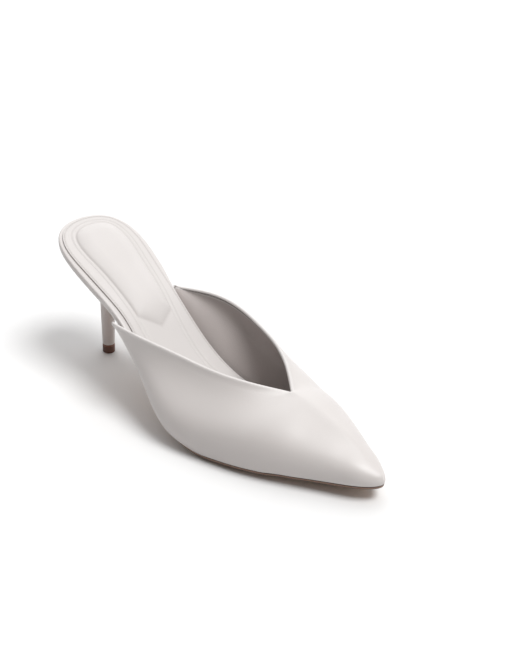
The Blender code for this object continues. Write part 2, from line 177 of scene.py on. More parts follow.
def mix(first: Any, second: Any, share: Any) -> Any:
    """Return the value a share of the way from first to second."""
    return first + (second - first) * share


def bell(x: np.ndarray, middle: float, width: float) -> np.ndarray:
    """Return a soft bump of height 1 around middle."""
    return np.exp(-((x - middle) / width) ** 2)


def soft_least(first: np.ndarray, second: np.ndarray, blend: float) -> np.ndarray:
    """Return the lesser of two values, rounded over where they cross."""
    return 0.5 * (first + second - np.sqrt((first - second) ** 2 + blend ** 2))


def unit(rows: np.ndarray) -> np.ndarray:
    """Return each row scaled to length 1."""
    return rows / np.maximum(np.linalg.norm(rows, axis=-1, keepdims=True), 1e-9)


def pick(path: np.ndarray, share: np.ndarray) -> np.ndarray:
    """Pick points of a path.

    Args:
        path: The path's points.
        share: Shares of its length, from 0 to 1.

    Returns:
        The point at each share.
    """
    run = np.concatenate([[0.0], np.cumsum(np.linalg.norm(np.diff(path, axis=0), axis=1))])
    places = np.asarray(share) * run[-1]
    return np.column_stack([np.interp(places, run, path[:, i]) for i in range(path.shape[1])])


def drift(points: np.ndarray, size: float, seed: float) -> np.ndarray:
    """Read soft noise, for the slight unevenness of leather over a last.

    Args:
        points: Points in millimetres.
        size: Width of one swell in millimetres.
        seed: Moves the pattern.

    Returns:
        A value from about -1 to 1 for each point.
    """
    shift = Vector((seed, 2.0 * seed, 3.0 * seed))
    return np.array([noise.noise(Vector(point) / size + shift) for point in points])


def nearest(points: np.ndarray, path: np.ndarray) -> np.ndarray:
    """Measure how far each point lies from a path.

    Args:
        points: Points to measure.
        path: The path's points, close together.

    Returns:
        The distance of each point from the nearest point of the path.
    """
    best = np.full(len(points), np.inf)
    for start in range(0, len(path), 64):
        part = path[start:start + 64]
        gaps = np.linalg.norm(points[:, None, :] - part[None, :, :], axis=2)
        best = np.minimum(best, gaps.min(axis=1))
    return best


@dataclass(frozen=True)
class Last:
    """The form that the shoe is built on: its outline, its feather line and its top lines."""

    length: float = 245.0
    tip_side: float = 4.8
    back_side: float = 1.3
    tread_height: float = 2.1
    flat_back: float = 156.0
    flat_front: float = 184.0
    flat_blend: float = 14.0
    throat: float = 177.6
    ridge_end: float = 239.8
    wing_lateral: float = 72.5
    wing_medial: float = 65.0
    toe_turn: float = 225.0
    fullness_low: float = 0.50
    fullness_high: float = 0.45
    outline: tuple[Outline, ...] = table_of(
        Outline, (6, 17.5, 20.7), (22, 27, 28.1), (45, 28.7, 26.2), (72, 29.3, 20.6), (100, 34.6, 19.7),
        (128, 42, 25.2), (155, 39.5, 35.6), (180, 32.6, 34.8), (205, 20.8, 27.1), (225, 10.8, 18.6),
        (238, 4.1, 13),
    )
    feather_line: tuple[Level, ...] = table_of(
        Level, (0, 79.2), (25, 70.8), (50, 59.4), (75, 46.5), (100, 25.8), (125, 10.6), (148, 3.1),
        (160, 2.1), (180, 2.1), (205, 4.6), (225, 6.7), (245, 9.2),
    )
    collar_lateral: tuple[Spot, ...] = table_of(
        Spot, (71.5, -33.3, 51.9), (89.6, -33.4, 52.1), (104.3, -30.8, 50.9), (118.9, -26.2, 48.4),
        (133.6, -21.3, 45.4), (148.3, -15.6, 43.1), (163, -6.7, 40.5), (177.6, 5.5, 36.9),
    )
    collar_medial: tuple[Spot, ...] = table_of(
        Spot, (64, 23.5, 53), (84.1, 29.2, 55.6), (99.7, 33.2, 55), (115.3, 34.2, 51.9), (130.9, 31.4, 49.1),
        (146.5, 26.8, 46.2), (162.1, 18.3, 42.2), (177.6, 5.5, 36.9),
    )
    ridge: tuple[Spot, ...] = table_of(
        Spot, (177.6, 5.5, 36.9), (188, 6.1, 35.9), (200, 6.4, 33.1), (220, 5.8, 26.9), (235, 4.8, 19.9),
        (239.8, 4.8, 17.6),
    )
    flare_lateral: tuple[Level, ...] = table_of(
        Level, (62, 2.2), (80, 2), (100, 1), (120, 1.4), (135, 0.6), (150, 0), (200, 0), (245, 0),
    )
    flare_medial: tuple[Level, ...] = table_of(
        Level, (62, 1.2), (75, 0.6), (95, 0), (150, 0), (245, 0),
    )
    edge_fade: float = 14.0
    edge_rise_lateral: tuple[Level, ...] = table_of(
        Level, (60, 0), (128, 0), (146, 1.1), (165, 1.9), (183, 2.9), (193, 2.9), (204, 2.1), (222, 1.5),
        (245, 1),
    )
    edge_rise_medial: tuple[Level, ...] = table_of(
        Level, (60, 0), (135, 0), (160, 0.8), (190, 1.5), (222, 1.2), (245, 1),
    )
    sections: tuple[Section, ...] = table_of(
        Section, (75, 22.5, 23, 86, 85), (105, 17.5, 23.5, 83.5, 77.5), (135, 14, 24, 68, 57.5),
        (160, 11, 25, 42, 30), (178, 10.5, 23.5, 12.5, 4), (200, 14, 22.5, 15, 11), (222, 16, 12, 18, 18.5),
        (245, 12, -3, 24, 32),
    )

    def feather(self, x: np.ndarray) -> np.ndarray:
        """Read the height of the feather line.

        Args:
            x: Places along the foot.

        Returns:
            The height at each place, flat at the ball.
        """
        table = np.array(self.feather_line)
        height = spline(table[:, 0], table[:, 1], np.atleast_1d(x))
        back, front, blend = self.flat_back, self.flat_front, self.flat_blend
        tread = smooth(x, back - blend, back) * (1.0 - smooth(x, front, front + blend))
        return np.maximum(mix(height, self.tread_height, tread), self.tread_height)

    def cup(self, x: np.ndarray, y: np.ndarray) -> np.ndarray:
        """Read how far the forepart's edges rise above its middle.

        Args:
            x: Places along the foot.
            y: Places across it.

        Returns:
            The rise at each place, nothing more than a little way in from the outline.
        """
        total = np.zeros(np.shape(x))
        for side, table in ((Side.LATERAL, self.edge_rise_lateral), (Side.MEDIAL, self.edge_rise_medial)):
            rows = np.array(table)
            path = self.half_outline(side)
            far = side.value * (np.interp(x, path[:, 0], path[:, 1]) - y)
            share = 1.0 - smooth(far, 0.0, self.edge_fade)
            total = np.maximum(total, np.interp(x, rows[:, 0], rows[:, 1]) * share)
        return total

    def half_outline(self, side: Side, samples: int = 900) -> np.ndarray:
        """Trace one side of the sole's outline.

        Args:
            side: Which side of the foot.
            samples: Number of points.

        Returns:
            Points in plan, from the back of the seat to the tip.
        """
        lateral = [(row.along, -row.lateral) for row in self.outline]
        medial = [(row.along, row.medial) for row in self.outline]
        loop = [(0.0, self.back_side), *lateral, (self.length, self.tip_side), *medial[::-1]]
        around = np.array([*loop[-4:], *loop, *loop[:5]])
        reach = np.sqrt(np.hypot(*np.diff(around, axis=0).T))
        knots = np.concatenate([[0.0], np.cumsum(reach)])
        start, middle, end = knots[4], knots[4 + len(lateral) + 1], knots[4 + len(loop)]
        return spline(knots, around, np.linspace(side.of(start, end), middle, samples))

    def outline_ahead(self, side: Side, along: float) -> np.ndarray:
        """Trace one side of the outline ahead of a place along the foot.

        Args:
            side: Which side of the foot.
            along: Where the part starts; 0 gives the whole side.

        Returns:
            Points in plan, from that place to the tip.
        """
        path = self.half_outline(side)
        if along <= 0.0:
            return path
        ahead = path[path[:, 0] > along]
        first = len(path) - len(ahead)
        share = (along - path[first - 1, 0]) / (path[first, 0] - path[first - 1, 0])
        start = path[first - 1] + share * (path[first] - path[first - 1])
        return np.vstack([start, ahead])

    def outward(self, path: np.ndarray, side: Side, closed_back: bool) -> np.ndarray:
        """Find the directions that point away from the foot in plan.

        Args:
            path: Points of one side of the outline.
            side: Which side of the foot.
            closed_back: Whether the path starts at the back of the seat.

        Returns:
            A unit direction for each point, straight ahead at the tip.
        """
        ahead = unit(np.gradient(path[:, :2], axis=0))
        normals = side.value * np.column_stack([-ahead[:, 1], ahead[:, 0]])
        normals[-1] = (1.0, 0.0)
        if closed_back:
            normals[0] = (-1.0, 0.0)
        return normals

    def flare(self, side: Side, x: np.ndarray) -> np.ndarray:
        """Read how far the wings stand out beyond the outline on one side."""
        return read(side.of(self.flare_lateral, self.flare_medial), x)

    def collar(self, side: Side) -> tuple[Spot, ...]:
        """Return the collar's spots on one side."""
        return side.of(self.collar_lateral, self.collar_medial)

    def top_line(self, spots: tuple[Spot, ...], places: np.ndarray) -> np.ndarray:
        """Read the collar or the ridge at places along the foot.

        Args:
            spots: The line's spots.
            places: Places along the foot.

        Returns:
            A point for each place.
        """
        table = np.array(spots)
        return np.column_stack([places, spline(table[:, 0], table[:, 1:], places)])

    def collar_edge(self, samples: int = 360) -> np.ndarray:
        """Return the collar's whole edge, both sides, as points close together."""
        sides = []
        for side in Side:
            spots = self.collar(side)
            sides.append(self.top_line(spots, np.linspace(spots[0].along, self.throat, samples)))
        return np.vstack(sides)

    def ribs(self, side: Side, rear: np.ndarray, front: np.ndarray) -> tuple[np.ndarray, ...]:
        """Find the four points that give each section of the upper its curve.

        Args:
            side: Which side of the foot.
            rear: Shares of the way from the wing's end to the throat, for the sections there.
            front: Shares of the way from the throat to the toe.

        Returns:
            Foot, low, high and top, each with a row for each section.
        """
        path = self.outline_ahead(side, side.of(self.wing_lateral, self.wing_medial))
        ahead = self.outline_ahead(side, self.throat)
        behind = np.vstack([path[path[:, 0] < self.throat], ahead[:1]])
        foot = np.vstack([pick(behind, rear), pick(ahead, front)])
        normals = self.outward(foot, side, False)
        height = self.feather(foot[:, 0]) + self.cup(foot[:, 0], foot[:, 1])
        foot = np.column_stack([foot + normals * self.flare(side, foot[:, 0])[:, None], height])
        spots = self.collar(side)
        edge = self.top_line(spots, mix(spots[0].along, self.throat, rear))
        places = np.linspace(self.throat, self.ridge_end, 300)
        top = np.vstack([edge, pick(self.top_line(self.ridge, places), front)])
        turn = smooth(foot[:, 0], self.toe_turn, self.length)[:, None]
        across = unit(mix(np.array((0.0, side.value)), np.array((1.0, 0.0)), turn))
        table = np.array(self.sections)
        angles = np.radians(spline(table[:, 0], table[:, 1:], foot[:, 0]))
        lean = angles[:, [side.of(0, 1)]]
        slope = angles[:, [side.of(2, 3)]]
        chord = np.linalg.norm(top - foot, axis=1)[:, None]
        low = foot + self.fullness_low * chord * np.hstack([normals * np.sin(lean), np.cos(lean)])
        high = top + self.fullness_high * chord * np.hstack([across * np.cos(slope), -np.sin(slope)])
        return foot, low, high, top


LAST = Last()


@dataclass
class Skin:
    """A sheet of quads in space, with a normal for each point and a mark on those at the foot."""

    points: np.ndarray
    faces: list[tuple[int, ...]]
    foot: np.ndarray
    normals: np.ndarray = field(init=False)

    def __post_init__(self) -> None:
        """Weld the points that meet, drop what that closes up and find the normals."""
        keys = np.round(self.points, 3)
        _, first, index = np.unique(keys, axis=0, return_index=True, return_inverse=True)
        index = index.ravel()
        self.points = self.points[first]
        self.foot = self.foot[first]
        faces = []
        for face in self.faces:
            corners = [int(index[corner]) for corner in face]
            kept = [c for i, c in enumerate(corners) if c != corners[i - 1]]
            if len(kept) > 2:
                faces.append(tuple(kept))
        self.faces = faces
        self.normals = self._normals()

    def _normals(self) -> np.ndarray:
        """Return the normal of each point, from the faces around it."""
        total = np.zeros_like(self.points)
        for face in self.faces:
            a, b = self.points[face[0]], self.points[face[1]]
            c, d = self.points[face[2]], self.points[face[-1]]
            push = np.cross(c - a, d - b) if len(face) == 4 else np.cross(b - a, c - a)
            for corner in face:
                total[corner] += push
        return unit(total)

    def ease(self, weights: np.ndarray, passes: int) -> None:
        """Smooth the sheet where it is asked for, so that its sections run into each other.

        Args:
            weights: How much of each step a point takes, from 0 to 1.
            passes: Number of steps.
        """
        pairs = set()
        for face in self.faces:
            pairs |= {(min(face[i - 1], corner), max(face[i - 1], corner)) for i, corner in enumerate(face)}
        ends = np.array(sorted(pairs))
        both = np.vstack([ends, ends[:, ::-1]])
        both = both[np.argsort(both[:, 0], kind="stable")]
        count = np.bincount(both[:, 0], minlength=len(self.points))
        first = np.concatenate([[0], np.cumsum(count)[:-1]])
        gaps = np.linalg.norm(self.points[both[:, 0]] - self.points[both[:, 1]], axis=1)
        pull = 1.0 / np.maximum(gaps, LEAST_GAP)
        total = np.add.reduceat(pull, first)
        for step in range(passes):
            mean = np.add.reduceat(self.points[both[:, 1]] * pull[:, None], first, axis=0) / total[:, None]
            share = EASE_IN if step % 2 == 0 else EASE_OUT
            self.points = self.points + share * weights[:, None] * (mean - self.points)
        self.normals = self._normals()

    def rim(self) -> list[int]:
        """Return the points round the sheet's edge, in order, with the sheet on their left."""
        edges = dict.fromkeys((face[i - 1], corner) for face in self.faces for i, corner in enumerate(face))
        free = {start: end for start, end in edges if (end, start) not in edges}
        loop = [next(iter(free))]
        while free[loop[-1]] != loop[0]:
            loop.append(free[loop[-1]])
        return loop


def weave_grid(rows: int, columns: int, first: int = 0, wrap: bool = False) -> list[tuple[int, ...]]:
    """List the quads of a grid whose points are stored row by row.

    Args:
        rows: Number of rows.
        columns: Number of points in a row.
        first: Index of the grid's first point.
        wrap: Whether each row closes on itself.

    Returns:
        The faces.
    """
    faces = []
    for row in range(rows - 1):
        for column in range(columns if wrap else columns - 1):
            right = (column + 1) % columns
            here, there = first + row * columns, first + (row + 1) * columns
            faces.append((here + column, here + right, there + right, there + column))
    return faces


def place_object(name: str, data: bpy.types.ID) -> bpy.types.Object:
    """Put a mesh, a lamp or a camera into the scene as an object at the origin."""
    new = bpy.data.objects.new(name, data)
    bpy.context.scene.collection.objects.link(new)
    return new


def make_object(
    name: str,
    points: np.ndarray,
    faces: list[tuple[int, ...]],
    marks: dict[str, np.ndarray] | None = None,
    turn_out: bool = True,
    crease: float = 50.0,
) -> bpy.types.Object:
    """Make an object from points in the shoe's own frame.

    Args:
        name: The object's name.
        points: Points in millimetres.
        faces: Faces as rows of point indices.
        marks: Values per point, kept as attributes for the materials.
        turn_out: Whether to weld it and turn its faces outwards.
        crease: Angle in degrees past which an edge is shaded sharp.

    Returns:
        The object, at the origin, with its place in its mesh.
    """
    mesh = bpy.data.meshes.new(name)
    mesh.from_pydata([tuple(point) for point in (points - CENTRE) * MM], [], faces)
    for label, values in (marks or {}).items():
        layer = mesh.attributes.new(label, "FLOAT", "POINT")
        layer.data.foreach_set("value", np.asarray(values, np.float32))
    if turn_out:
        shape = bmesh.new()
        shape.from_mesh(mesh)
        bmesh.ops.remove_doubles(shape, verts=shape.verts, dist=WELD)
        bmesh.ops.dissolve_degenerate(shape, edges=shape.edges, dist=0.4 * WELD)
        bmesh.ops.recalc_face_normals(shape, faces=shape.faces)
        shape.to_mesh(mesh)
        shape.free()
    mesh.shade_smooth()
    mesh.set_sharp_from_angle(angle=radians(crease))
    return place_object(name, mesh)


def wall_of(
    name: str,
    skin: Skin,
    outer: np.ndarray,
    inner: np.ndarray,
    edge: np.ndarray,
    foot_round: float,
    line: np.ndarray,
    steps: int = 8,
) -> bpy.types.Object:
    """Make a closed wall from a sheet, with a rounded edge all the way round.

    Args:
        name: The object's name.
        skin: The sheet.
        outer: How far each point moves out along its normal.
        inner: How far the inner face lies in from the sheet at each point.
        edge: Distance of each point from the collar's edge, kept as an attribute.
        foot_round: How far the wall's edge bulges at the feather line, as a share of a half round.
        line: Strength of the painted shade lines at each point of the inner face, kept as an attribute.
        steps: Number of strips round the edge.

    Returns:
        The object.
    """
    out_points = skin.points + skin.normals * outer[:, None]
    in_points = skin.points - skin.normals * inner[:, None]
    count = len(skin.points)
    points = [out_points, in_points]
    faces = list(skin.faces)
    faces += [tuple(corner + count for corner in face[::-1]) for face in skin.faces]
    loop = np.array(skin.rim())
    path = skin.points[loop]
    before = unit(path - np.roll(path, 1, axis=0))
    after = unit(np.roll(path, -1, axis=0) - path)
    normals = skin.normals[loop]
    past_before, past_after = unit(np.cross(before, normals)), unit(np.cross(after, normals))
    past = unit(past_before + past_after)
    mitre = 1.0 / np.clip((past * past_before).sum(axis=1), 0.6, 1.0)
    bulge = mitre * np.where(skin.foot[loop], foot_round, 1.0)
    start, end = out_points[loop], in_points[loop]
    middle, half = 0.5 * (start + end), 0.5 * (start - end)
    radius = np.linalg.norm(half, axis=1)
    rings = [loop]
    for step in range(1, steps):
        angle = pi * step / steps
        push = past * (radius * bulge * sin(angle))[:, None]
        rings.append(np.arange(len(loop)) + sum(len(part) for part in points))
        points.append(middle + half * cos(angle) + push)
    rings.append(loop + count)
    for first, second in zip(rings, rings[1:]):
        for i in range(len(loop)):
            j = (i + 1) % len(loop)
            faces.append((int(first[j]), int(first[i]), int(second[i]), int(second[j])))
    rest = np.zeros(len(loop) * (steps - 1))
    lines = np.concatenate([np.zeros(count), line, rest])
    data = {"edge_mm": np.concatenate([edge, edge, rest]), "line": lines}
    return make_object(name, np.concatenate(points), faces, data, turn_out=False, crease=80.0)


class Nodes:
    """Adds nodes to a tree and joins them."""

    def __init__(self, tree: bpy.types.NodeTree) -> None:
        """Keep the tree that the nodes go into."""
        self.tree = tree

    def add(self, kind: str, inputs: dict[Any, Any] | None = None, **settings: Any) -> bpy.types.Node:
        """Add a node.

        Args:
            kind: The node's type.
            inputs: A value or another node's output for each named or numbered input.
            settings: The node's own settings.

        Returns:
            The node.
        """
        node = self.tree.nodes.new(kind)
        for name, value in settings.items():
            setattr(node, name, value)
        for name, value in (inputs or {}).items():
            if isinstance(value, bpy.types.NodeSocket):
                self.tree.links.new(value, node.inputs[name])
            else:
                node.inputs[name].default_value = value
        return node

    def math(self, operation: str, *values: Any) -> bpy.types.NodeSocket:
        """Add a Math node and return its output."""
        return self.add("ShaderNodeMath", dict(enumerate(values)), operation=operation).outputs[0]

    def blend(self, share: Any, first: Any, second: Any) -> bpy.types.NodeSocket:
        """Mix two colours and return the result."""
        ends = [end if isinstance(end, bpy.types.NodeSocket) else (*end, 1.0) for end in (first, second)]
        return self.add("ShaderNodeMix", {0: share, 6: ends[0], 7: ends[1]}, data_type="RGBA").outputs[2]

    def group(self, tree: bpy.types.NodeTree, **inputs: Any) -> Any:
        """Add a shader group and return its outputs."""
        return self.add("ShaderNodeGroup", inputs, node_tree=tree).outputs

    def mark(self, name: str) -> bpy.types.NodeSocket:
        """Read one of the mesh's own attributes."""
        return self.add("ShaderNodeAttribute", attribute_name=name).outputs["Fac"]

    def noise(self, place: Any, scale: Any, detail: float, **inputs: float) -> Any:
        """Add a noise texture and return its outputs."""
        values = {"Vector": place, "Scale": scale, "Detail": detail, **inputs}
        return self.add("ShaderNodeTexNoise", values).outputs

    def vector(self, operation: str, inputs: dict[Any, Any]) -> bpy.types.NodeSocket:
        """Add a Vector Math node and return its first output."""
        return self.add("ShaderNodeVectorMath", inputs, operation=operation).outputs[0]

    def put_out(self, end: bpy.types.Node, **values: bpy.types.NodeSocket) -> bpy.types.NodeTree:
        """Join values to a group's outputs and return its tree."""
        for label, value in values.items():
            self.tree.links.new(value, end.inputs[label])
        return self.tree

    def remap(self, value: Any, low: float, high: float, start: float, end: float) -> bpy.types.NodeSocket:
        """Carry a value from one range to another, softly, and return it."""
        ends = {"Value": value, "From Min": low, "From Max": high, "To Min": start, "To Max": end}
        return self.add("ShaderNodeMapRange", ends, interpolation_type="SMOOTHSTEP").outputs["Result"]


def shader_group(name: str, inputs: dict[str, Any], outputs: tuple[str, ...]) -> tuple[Nodes, Any, Any]:
    """Start a shader node group.

    Args:
        name: The group's name.
        inputs: Each input's name and starting value; None stands for a vector.
        outputs: The names of the outputs, all of them plain values.

    Returns:
        The group's nodes, its input node and its output node.
    """
    tree = bpy.data.node_groups.new(name, "ShaderNodeTree")
    for label, value in inputs.items():
        kind = "NodeSocketVector" if value is None else "NodeSocketFloat"
        socket = tree.interface.new_socket(label, in_out="INPUT", socket_type=kind)
        if value is not None:
            socket.default_value = value
    for label in outputs:
        tree.interface.new_socket(label, in_out="OUTPUT", socket_type="NodeSocketFloat")
    nodes = Nodes(tree)
    return nodes, nodes.add("NodeGroupInput"), nodes.add("NodeGroupOutput")


def grain_group() -> bpy.types.NodeTree:
    """Build the fine grain of a leather.

    Returns:
        A group that puts out the grain's height and a mask of its pores.
    """
    nodes, start, end = shader_group(
        "Leather grain", {"Vector": None, "Cells": 1500.0, "Warp": 0.0006}, ("Height", "Pores")
    )
    place, cells = start.outputs["Vector"], start.outputs["Cells"]
    wander = nodes.noise(place, 700.0, 2.0)["Color"]
    centred = nodes.vector("SUBTRACT", {0: wander, 1: (0.5, 0.5, 0.5)})
    moved = nodes.vector("SCALE", {0: centred, "Scale": start.outputs["Warp"]})
    pattern = {"Vector": nodes.vector("ADD", {0: place, 1: moved}), "Scale": cells}
    middles = nodes.add("ShaderNodeTexVoronoi", pattern).outputs["Distance"]
    creases = nodes.add("ShaderNodeTexVoronoi", pattern, feature="DISTANCE_TO_EDGE").outputs["Distance"]
    plates = nodes.remap(creases, 0.0, 0.22, 0.0, 1.0)
    swell = nodes.noise(place, 260.0, 3.0)["Fac"]
    height = nodes.math("MULTIPLY_ADD", swell, 0.8, nodes.math("MULTIPLY", plates, 0.5))
    return nodes.put_out(end, Height=height, Pores=nodes.remap(middles, 0.0, 0.16, 1.0, 0.0))


def tone_group() -> bpy.types.NodeTree:
    """Build the slow drift of tone over a hide.

    Returns:
        A group that puts out a broad mask and a fine one.
    """
    inputs = {"Vector": None, "Swell": 22.0, "Fleck": 900.0}
    nodes, start, end = shader_group("Hide tone", inputs, ("Broad", "Fine"))
    place = start.outputs["Vector"]
    broad = nodes.noise(place, start.outputs["Swell"], 2.0)["Fac"]
    fine = nodes.noise(place, start.outputs["Fleck"], 4.0)["Fac"]
    broad, fine = nodes.remap(broad, 0.32, 0.68, 0.0, 1.0), nodes.remap(fine, 0.35, 0.65, 0.0, 1.0)
    return nodes.put_out(end, Broad=broad, Fine=fine)


def rub_highlight_group() -> bpy.types.NodeTree:
    """Build the rubbed line along an edge, broken up so that it isn't even; on the collar it is also a
    painted highlight.

    Returns:
        A group that puts out a mask, 1 on the edge.
    """
    nodes, start, end = shader_group(
        "Edge wear and highlight", {"Vector": None, "Distance": 0.0, "Width": 1.2, "Break up": 0.5}, ("Mask",)
    )
    ragged = nodes.noise(start.outputs["Vector"], 380.0, 3.0)["Fac"]
    spread = nodes.math("MULTIPLY", ragged, start.outputs["Break up"])
    reach = nodes.math("MULTIPLY", start.outputs["Width"], nodes.math("ADD", spread, 0.7))
    share = nodes.math("DIVIDE", start.outputs["Distance"], reach)
    return nodes.put_out(end, Mask=nodes.remap(share, 0.0, 1.0, 1.0, 0.0))


def scuff_group() -> bpy.types.NodeTree:
    """Build fine scuffs that run along the foot.

    Returns:
        A group that puts out a mask of the scuffs.
    """
    nodes, start, end = shader_group("Scuffs", {"Vector": None, "Density": 500.0}, ("Mask",))
    along = nodes.add("ShaderNodeMapping", {"Vector": start.outputs["Vector"], "Scale": (0.12, 1.0, 1.0)})
    lines = nodes.noise(along.outputs[0], start.outputs["Density"], 5.0, Roughness=0.7)["Fac"]
    return nodes.put_out(end, Mask=nodes.remap(lines, 0.52, 0.72, 0.0, 1.0))


Colour = tuple[float, float, float]


def shade(colour: Colour, scale: float) -> Colour:
    """Return a colour made lighter or darker."""
    return tuple(min(1.0, scale * part) for part in colour)


def start_finish(name: str) -> tuple[bpy.types.Material, Nodes, bpy.types.NodeSocket]:
    """Start a material, and return it with its nodes and its object coordinates."""
    finish = bpy.data.materials.new(name)
    finish.use_nodes = True
    nodes = Nodes(finish.node_tree)
    return finish, nodes, nodes.add("ShaderNodeTexCoord").outputs["Object"]


def end_finish(
    nodes: Nodes, colour: Any, gloss: Any, height: Any, strength: float, depth: float
) -> bpy.types.Node:
    """Join what a finish puts out to its shader.

    Args:
        nodes: The finish's nodes.
        colour: Its colour.
        gloss: Its roughness.
        height: The height of its bump.
        strength: The bump's strength.
        depth: The bump's depth in millimetres.

    Returns:
        The shader node.
    """
    bump = nodes.add("ShaderNodeBump", {"Height": height, "Strength": strength, "Distance": depth * MM})
    shader = nodes.tree.nodes["Principled BSDF"]
    for label, output in (("Base Color", colour), ("Roughness", gloss), ("Normal", bump.outputs["Normal"])):
        nodes.tree.links.new(output, shader.inputs[label])
    return shader


@dataclass(frozen=True)
class Leather:
    """A leather finish: its colours, its gloss and its grain."""

    name: str
    colour: Colour
    deep: Colour
    roughness: float = 0.40
    coat: float = 0.12
    grain_cells: float = 1500.0
    grain_depth: float = 0.035
    # The edge colour is paler rubbed wear and also a painted highlight on the rolled collar; the line colour
    # is painted shade.
    rub_highlight_colour: Colour | None = None
    shade_line_colour: Colour | None = None

    def build(self, groups: dict[str, bpy.types.NodeTree]) -> bpy.types.Material:
        """Build the finish.

        Args:
            groups: The shared shader node groups by name.

        Returns:
            The material.
        """
        finish, nodes, place = start_finish(self.name)
        tone = nodes.group(groups["tone"], Vector=place)
        grain = nodes.group(groups["grain"], Vector=place, Cells=self.grain_cells)
        colour = nodes.blend(nodes.math("MULTIPLY", tone["Broad"], DEEP_SHARE), self.colour, self.deep)
        pores = nodes.math("MULTIPLY", grain["Pores"], PORE_SHARE)
        colour = nodes.blend(pores, colour, shade(self.deep, PORE_SHADE))
        # Paler along the collar's edge: partly rubbed wear, partly a painted highlight on the rolled edge.
        if self.rub_highlight_colour is not None:
            rub_highlight = nodes.group(groups["rub_highlight"], Vector=place, Distance=nodes.mark("edge_mm"))
            colour = nodes.blend(nodes.math("MULTIPLY", rub_highlight["Mask"], RUB_HIGHLIGHT_SHARE), colour, self.rub_highlight_colour)
        # Painted shade: the mesh's line attribute darkens the colour along grooves, seams and under edges.
        if self.shade_line_colour is not None:
            colour = nodes.blend(nodes.mark("line"), colour, self.shade_line_colour)
        gloss = nodes.math("MULTIPLY_ADD", tone["Fine"], FINE_GLOSS, self.roughness - 0.5 * FINE_GLOSS)
        gloss = nodes.math("MULTIPLY_ADD", grain["Pores"], PORE_GLOSS, gloss)
        shader = end_finish(nodes, colour, gloss, grain["Height"], 1.0, self.grain_depth)
        shader.inputs["Coat Weight"].default_value = self.coat
        shader.inputs["Coat Roughness"].default_value = COAT_ROUGHNESS
        return finish


@dataclass(frozen=True)
class SoleFinish:
    """The outsole's leather: a plain tread, a stained, waxed edge and painted shade along that edge."""

    name: str
    tread: Colour
    edge: Colour
    # The line colour is painted shade: the seam's dark line and the contact shadow.
    line: Colour
    roughness: float = 0.5
    bump_depth: float = 0.03

    def build(self, groups: dict[str, bpy.types.NodeTree]) -> bpy.types.Material:
        """Build the finish.

        Args:
            groups: The shared shader node groups by name.

        Returns:
            The material.
        """
        finish, nodes, place = start_finish(self.name)
        tone = nodes.group(groups["tone"], Vector=place, Swell=60.0)
        scuff = nodes.group(groups["scuff"], Vector=place)["Mask"]
        side = nodes.mark("side")
        colour = nodes.blend(nodes.math("MULTIPLY", tone["Broad"], 0.7), self.tread, shade(self.tread, 0.8))
        colour = nodes.blend(nodes.math("MULTIPLY", scuff, 0.3), colour, shade(self.tread, 1.25))
        colour = nodes.blend(side, colour, self.edge)
        # Painted shade from the seam attribute, at the top and the bottom of the edge.
        colour = nodes.blend(nodes.mark("seam"), colour, self.line)
        gloss = nodes.math("MULTIPLY_ADD", scuff, 0.15, self.roughness)
        gloss = nodes.math("MULTIPLY_ADD", side, -0.12, gloss)
        height = nodes.math("MULTIPLY_ADD", tone["Fine"], 0.6, scuff)
        end_finish(nodes, colour, gloss, height, 0.6, self.bump_depth)
        return finish


@dataclass(frozen=True)
class Moulded:
    """A moulded plastic finish with a faint texture."""

    name: str
    colour: Colour
    worn: Colour
    roughness: float = 0.45
    bump_depth: float = 0.02

    def build(self, groups: dict[str, bpy.types.NodeTree]) -> bpy.types.Material:
        """Build the finish.

        Args:
            groups: The shared shader node groups by name.

        Returns:
            The material.
        """
        finish, nodes, place = start_finish(self.name)
        tone = nodes.group(groups["tone"], Vector=place, Swell=160.0, Fleck=2400.0)
        scuff = nodes.group(groups["scuff"], Vector=place, Density=900.0)["Mask"]
        wear = nodes.math("MULTIPLY_ADD", scuff, 0.25, nodes.math("MULTIPLY", tone["Broad"], 0.3))
        gloss = nodes.math("MULTIPLY_ADD", tone["Fine"], 0.12, self.roughness - 0.06)
        colour = nodes.blend(wear, self.colour, self.worn)
        end_finish(nodes, colour, gloss, tone["Fine"], 0.5, self.bump_depth)
        return finish


IVORY = (0.585, 0.5515, 0.537)
IVORY_DEEP = (0.565, 0.528, 0.513)


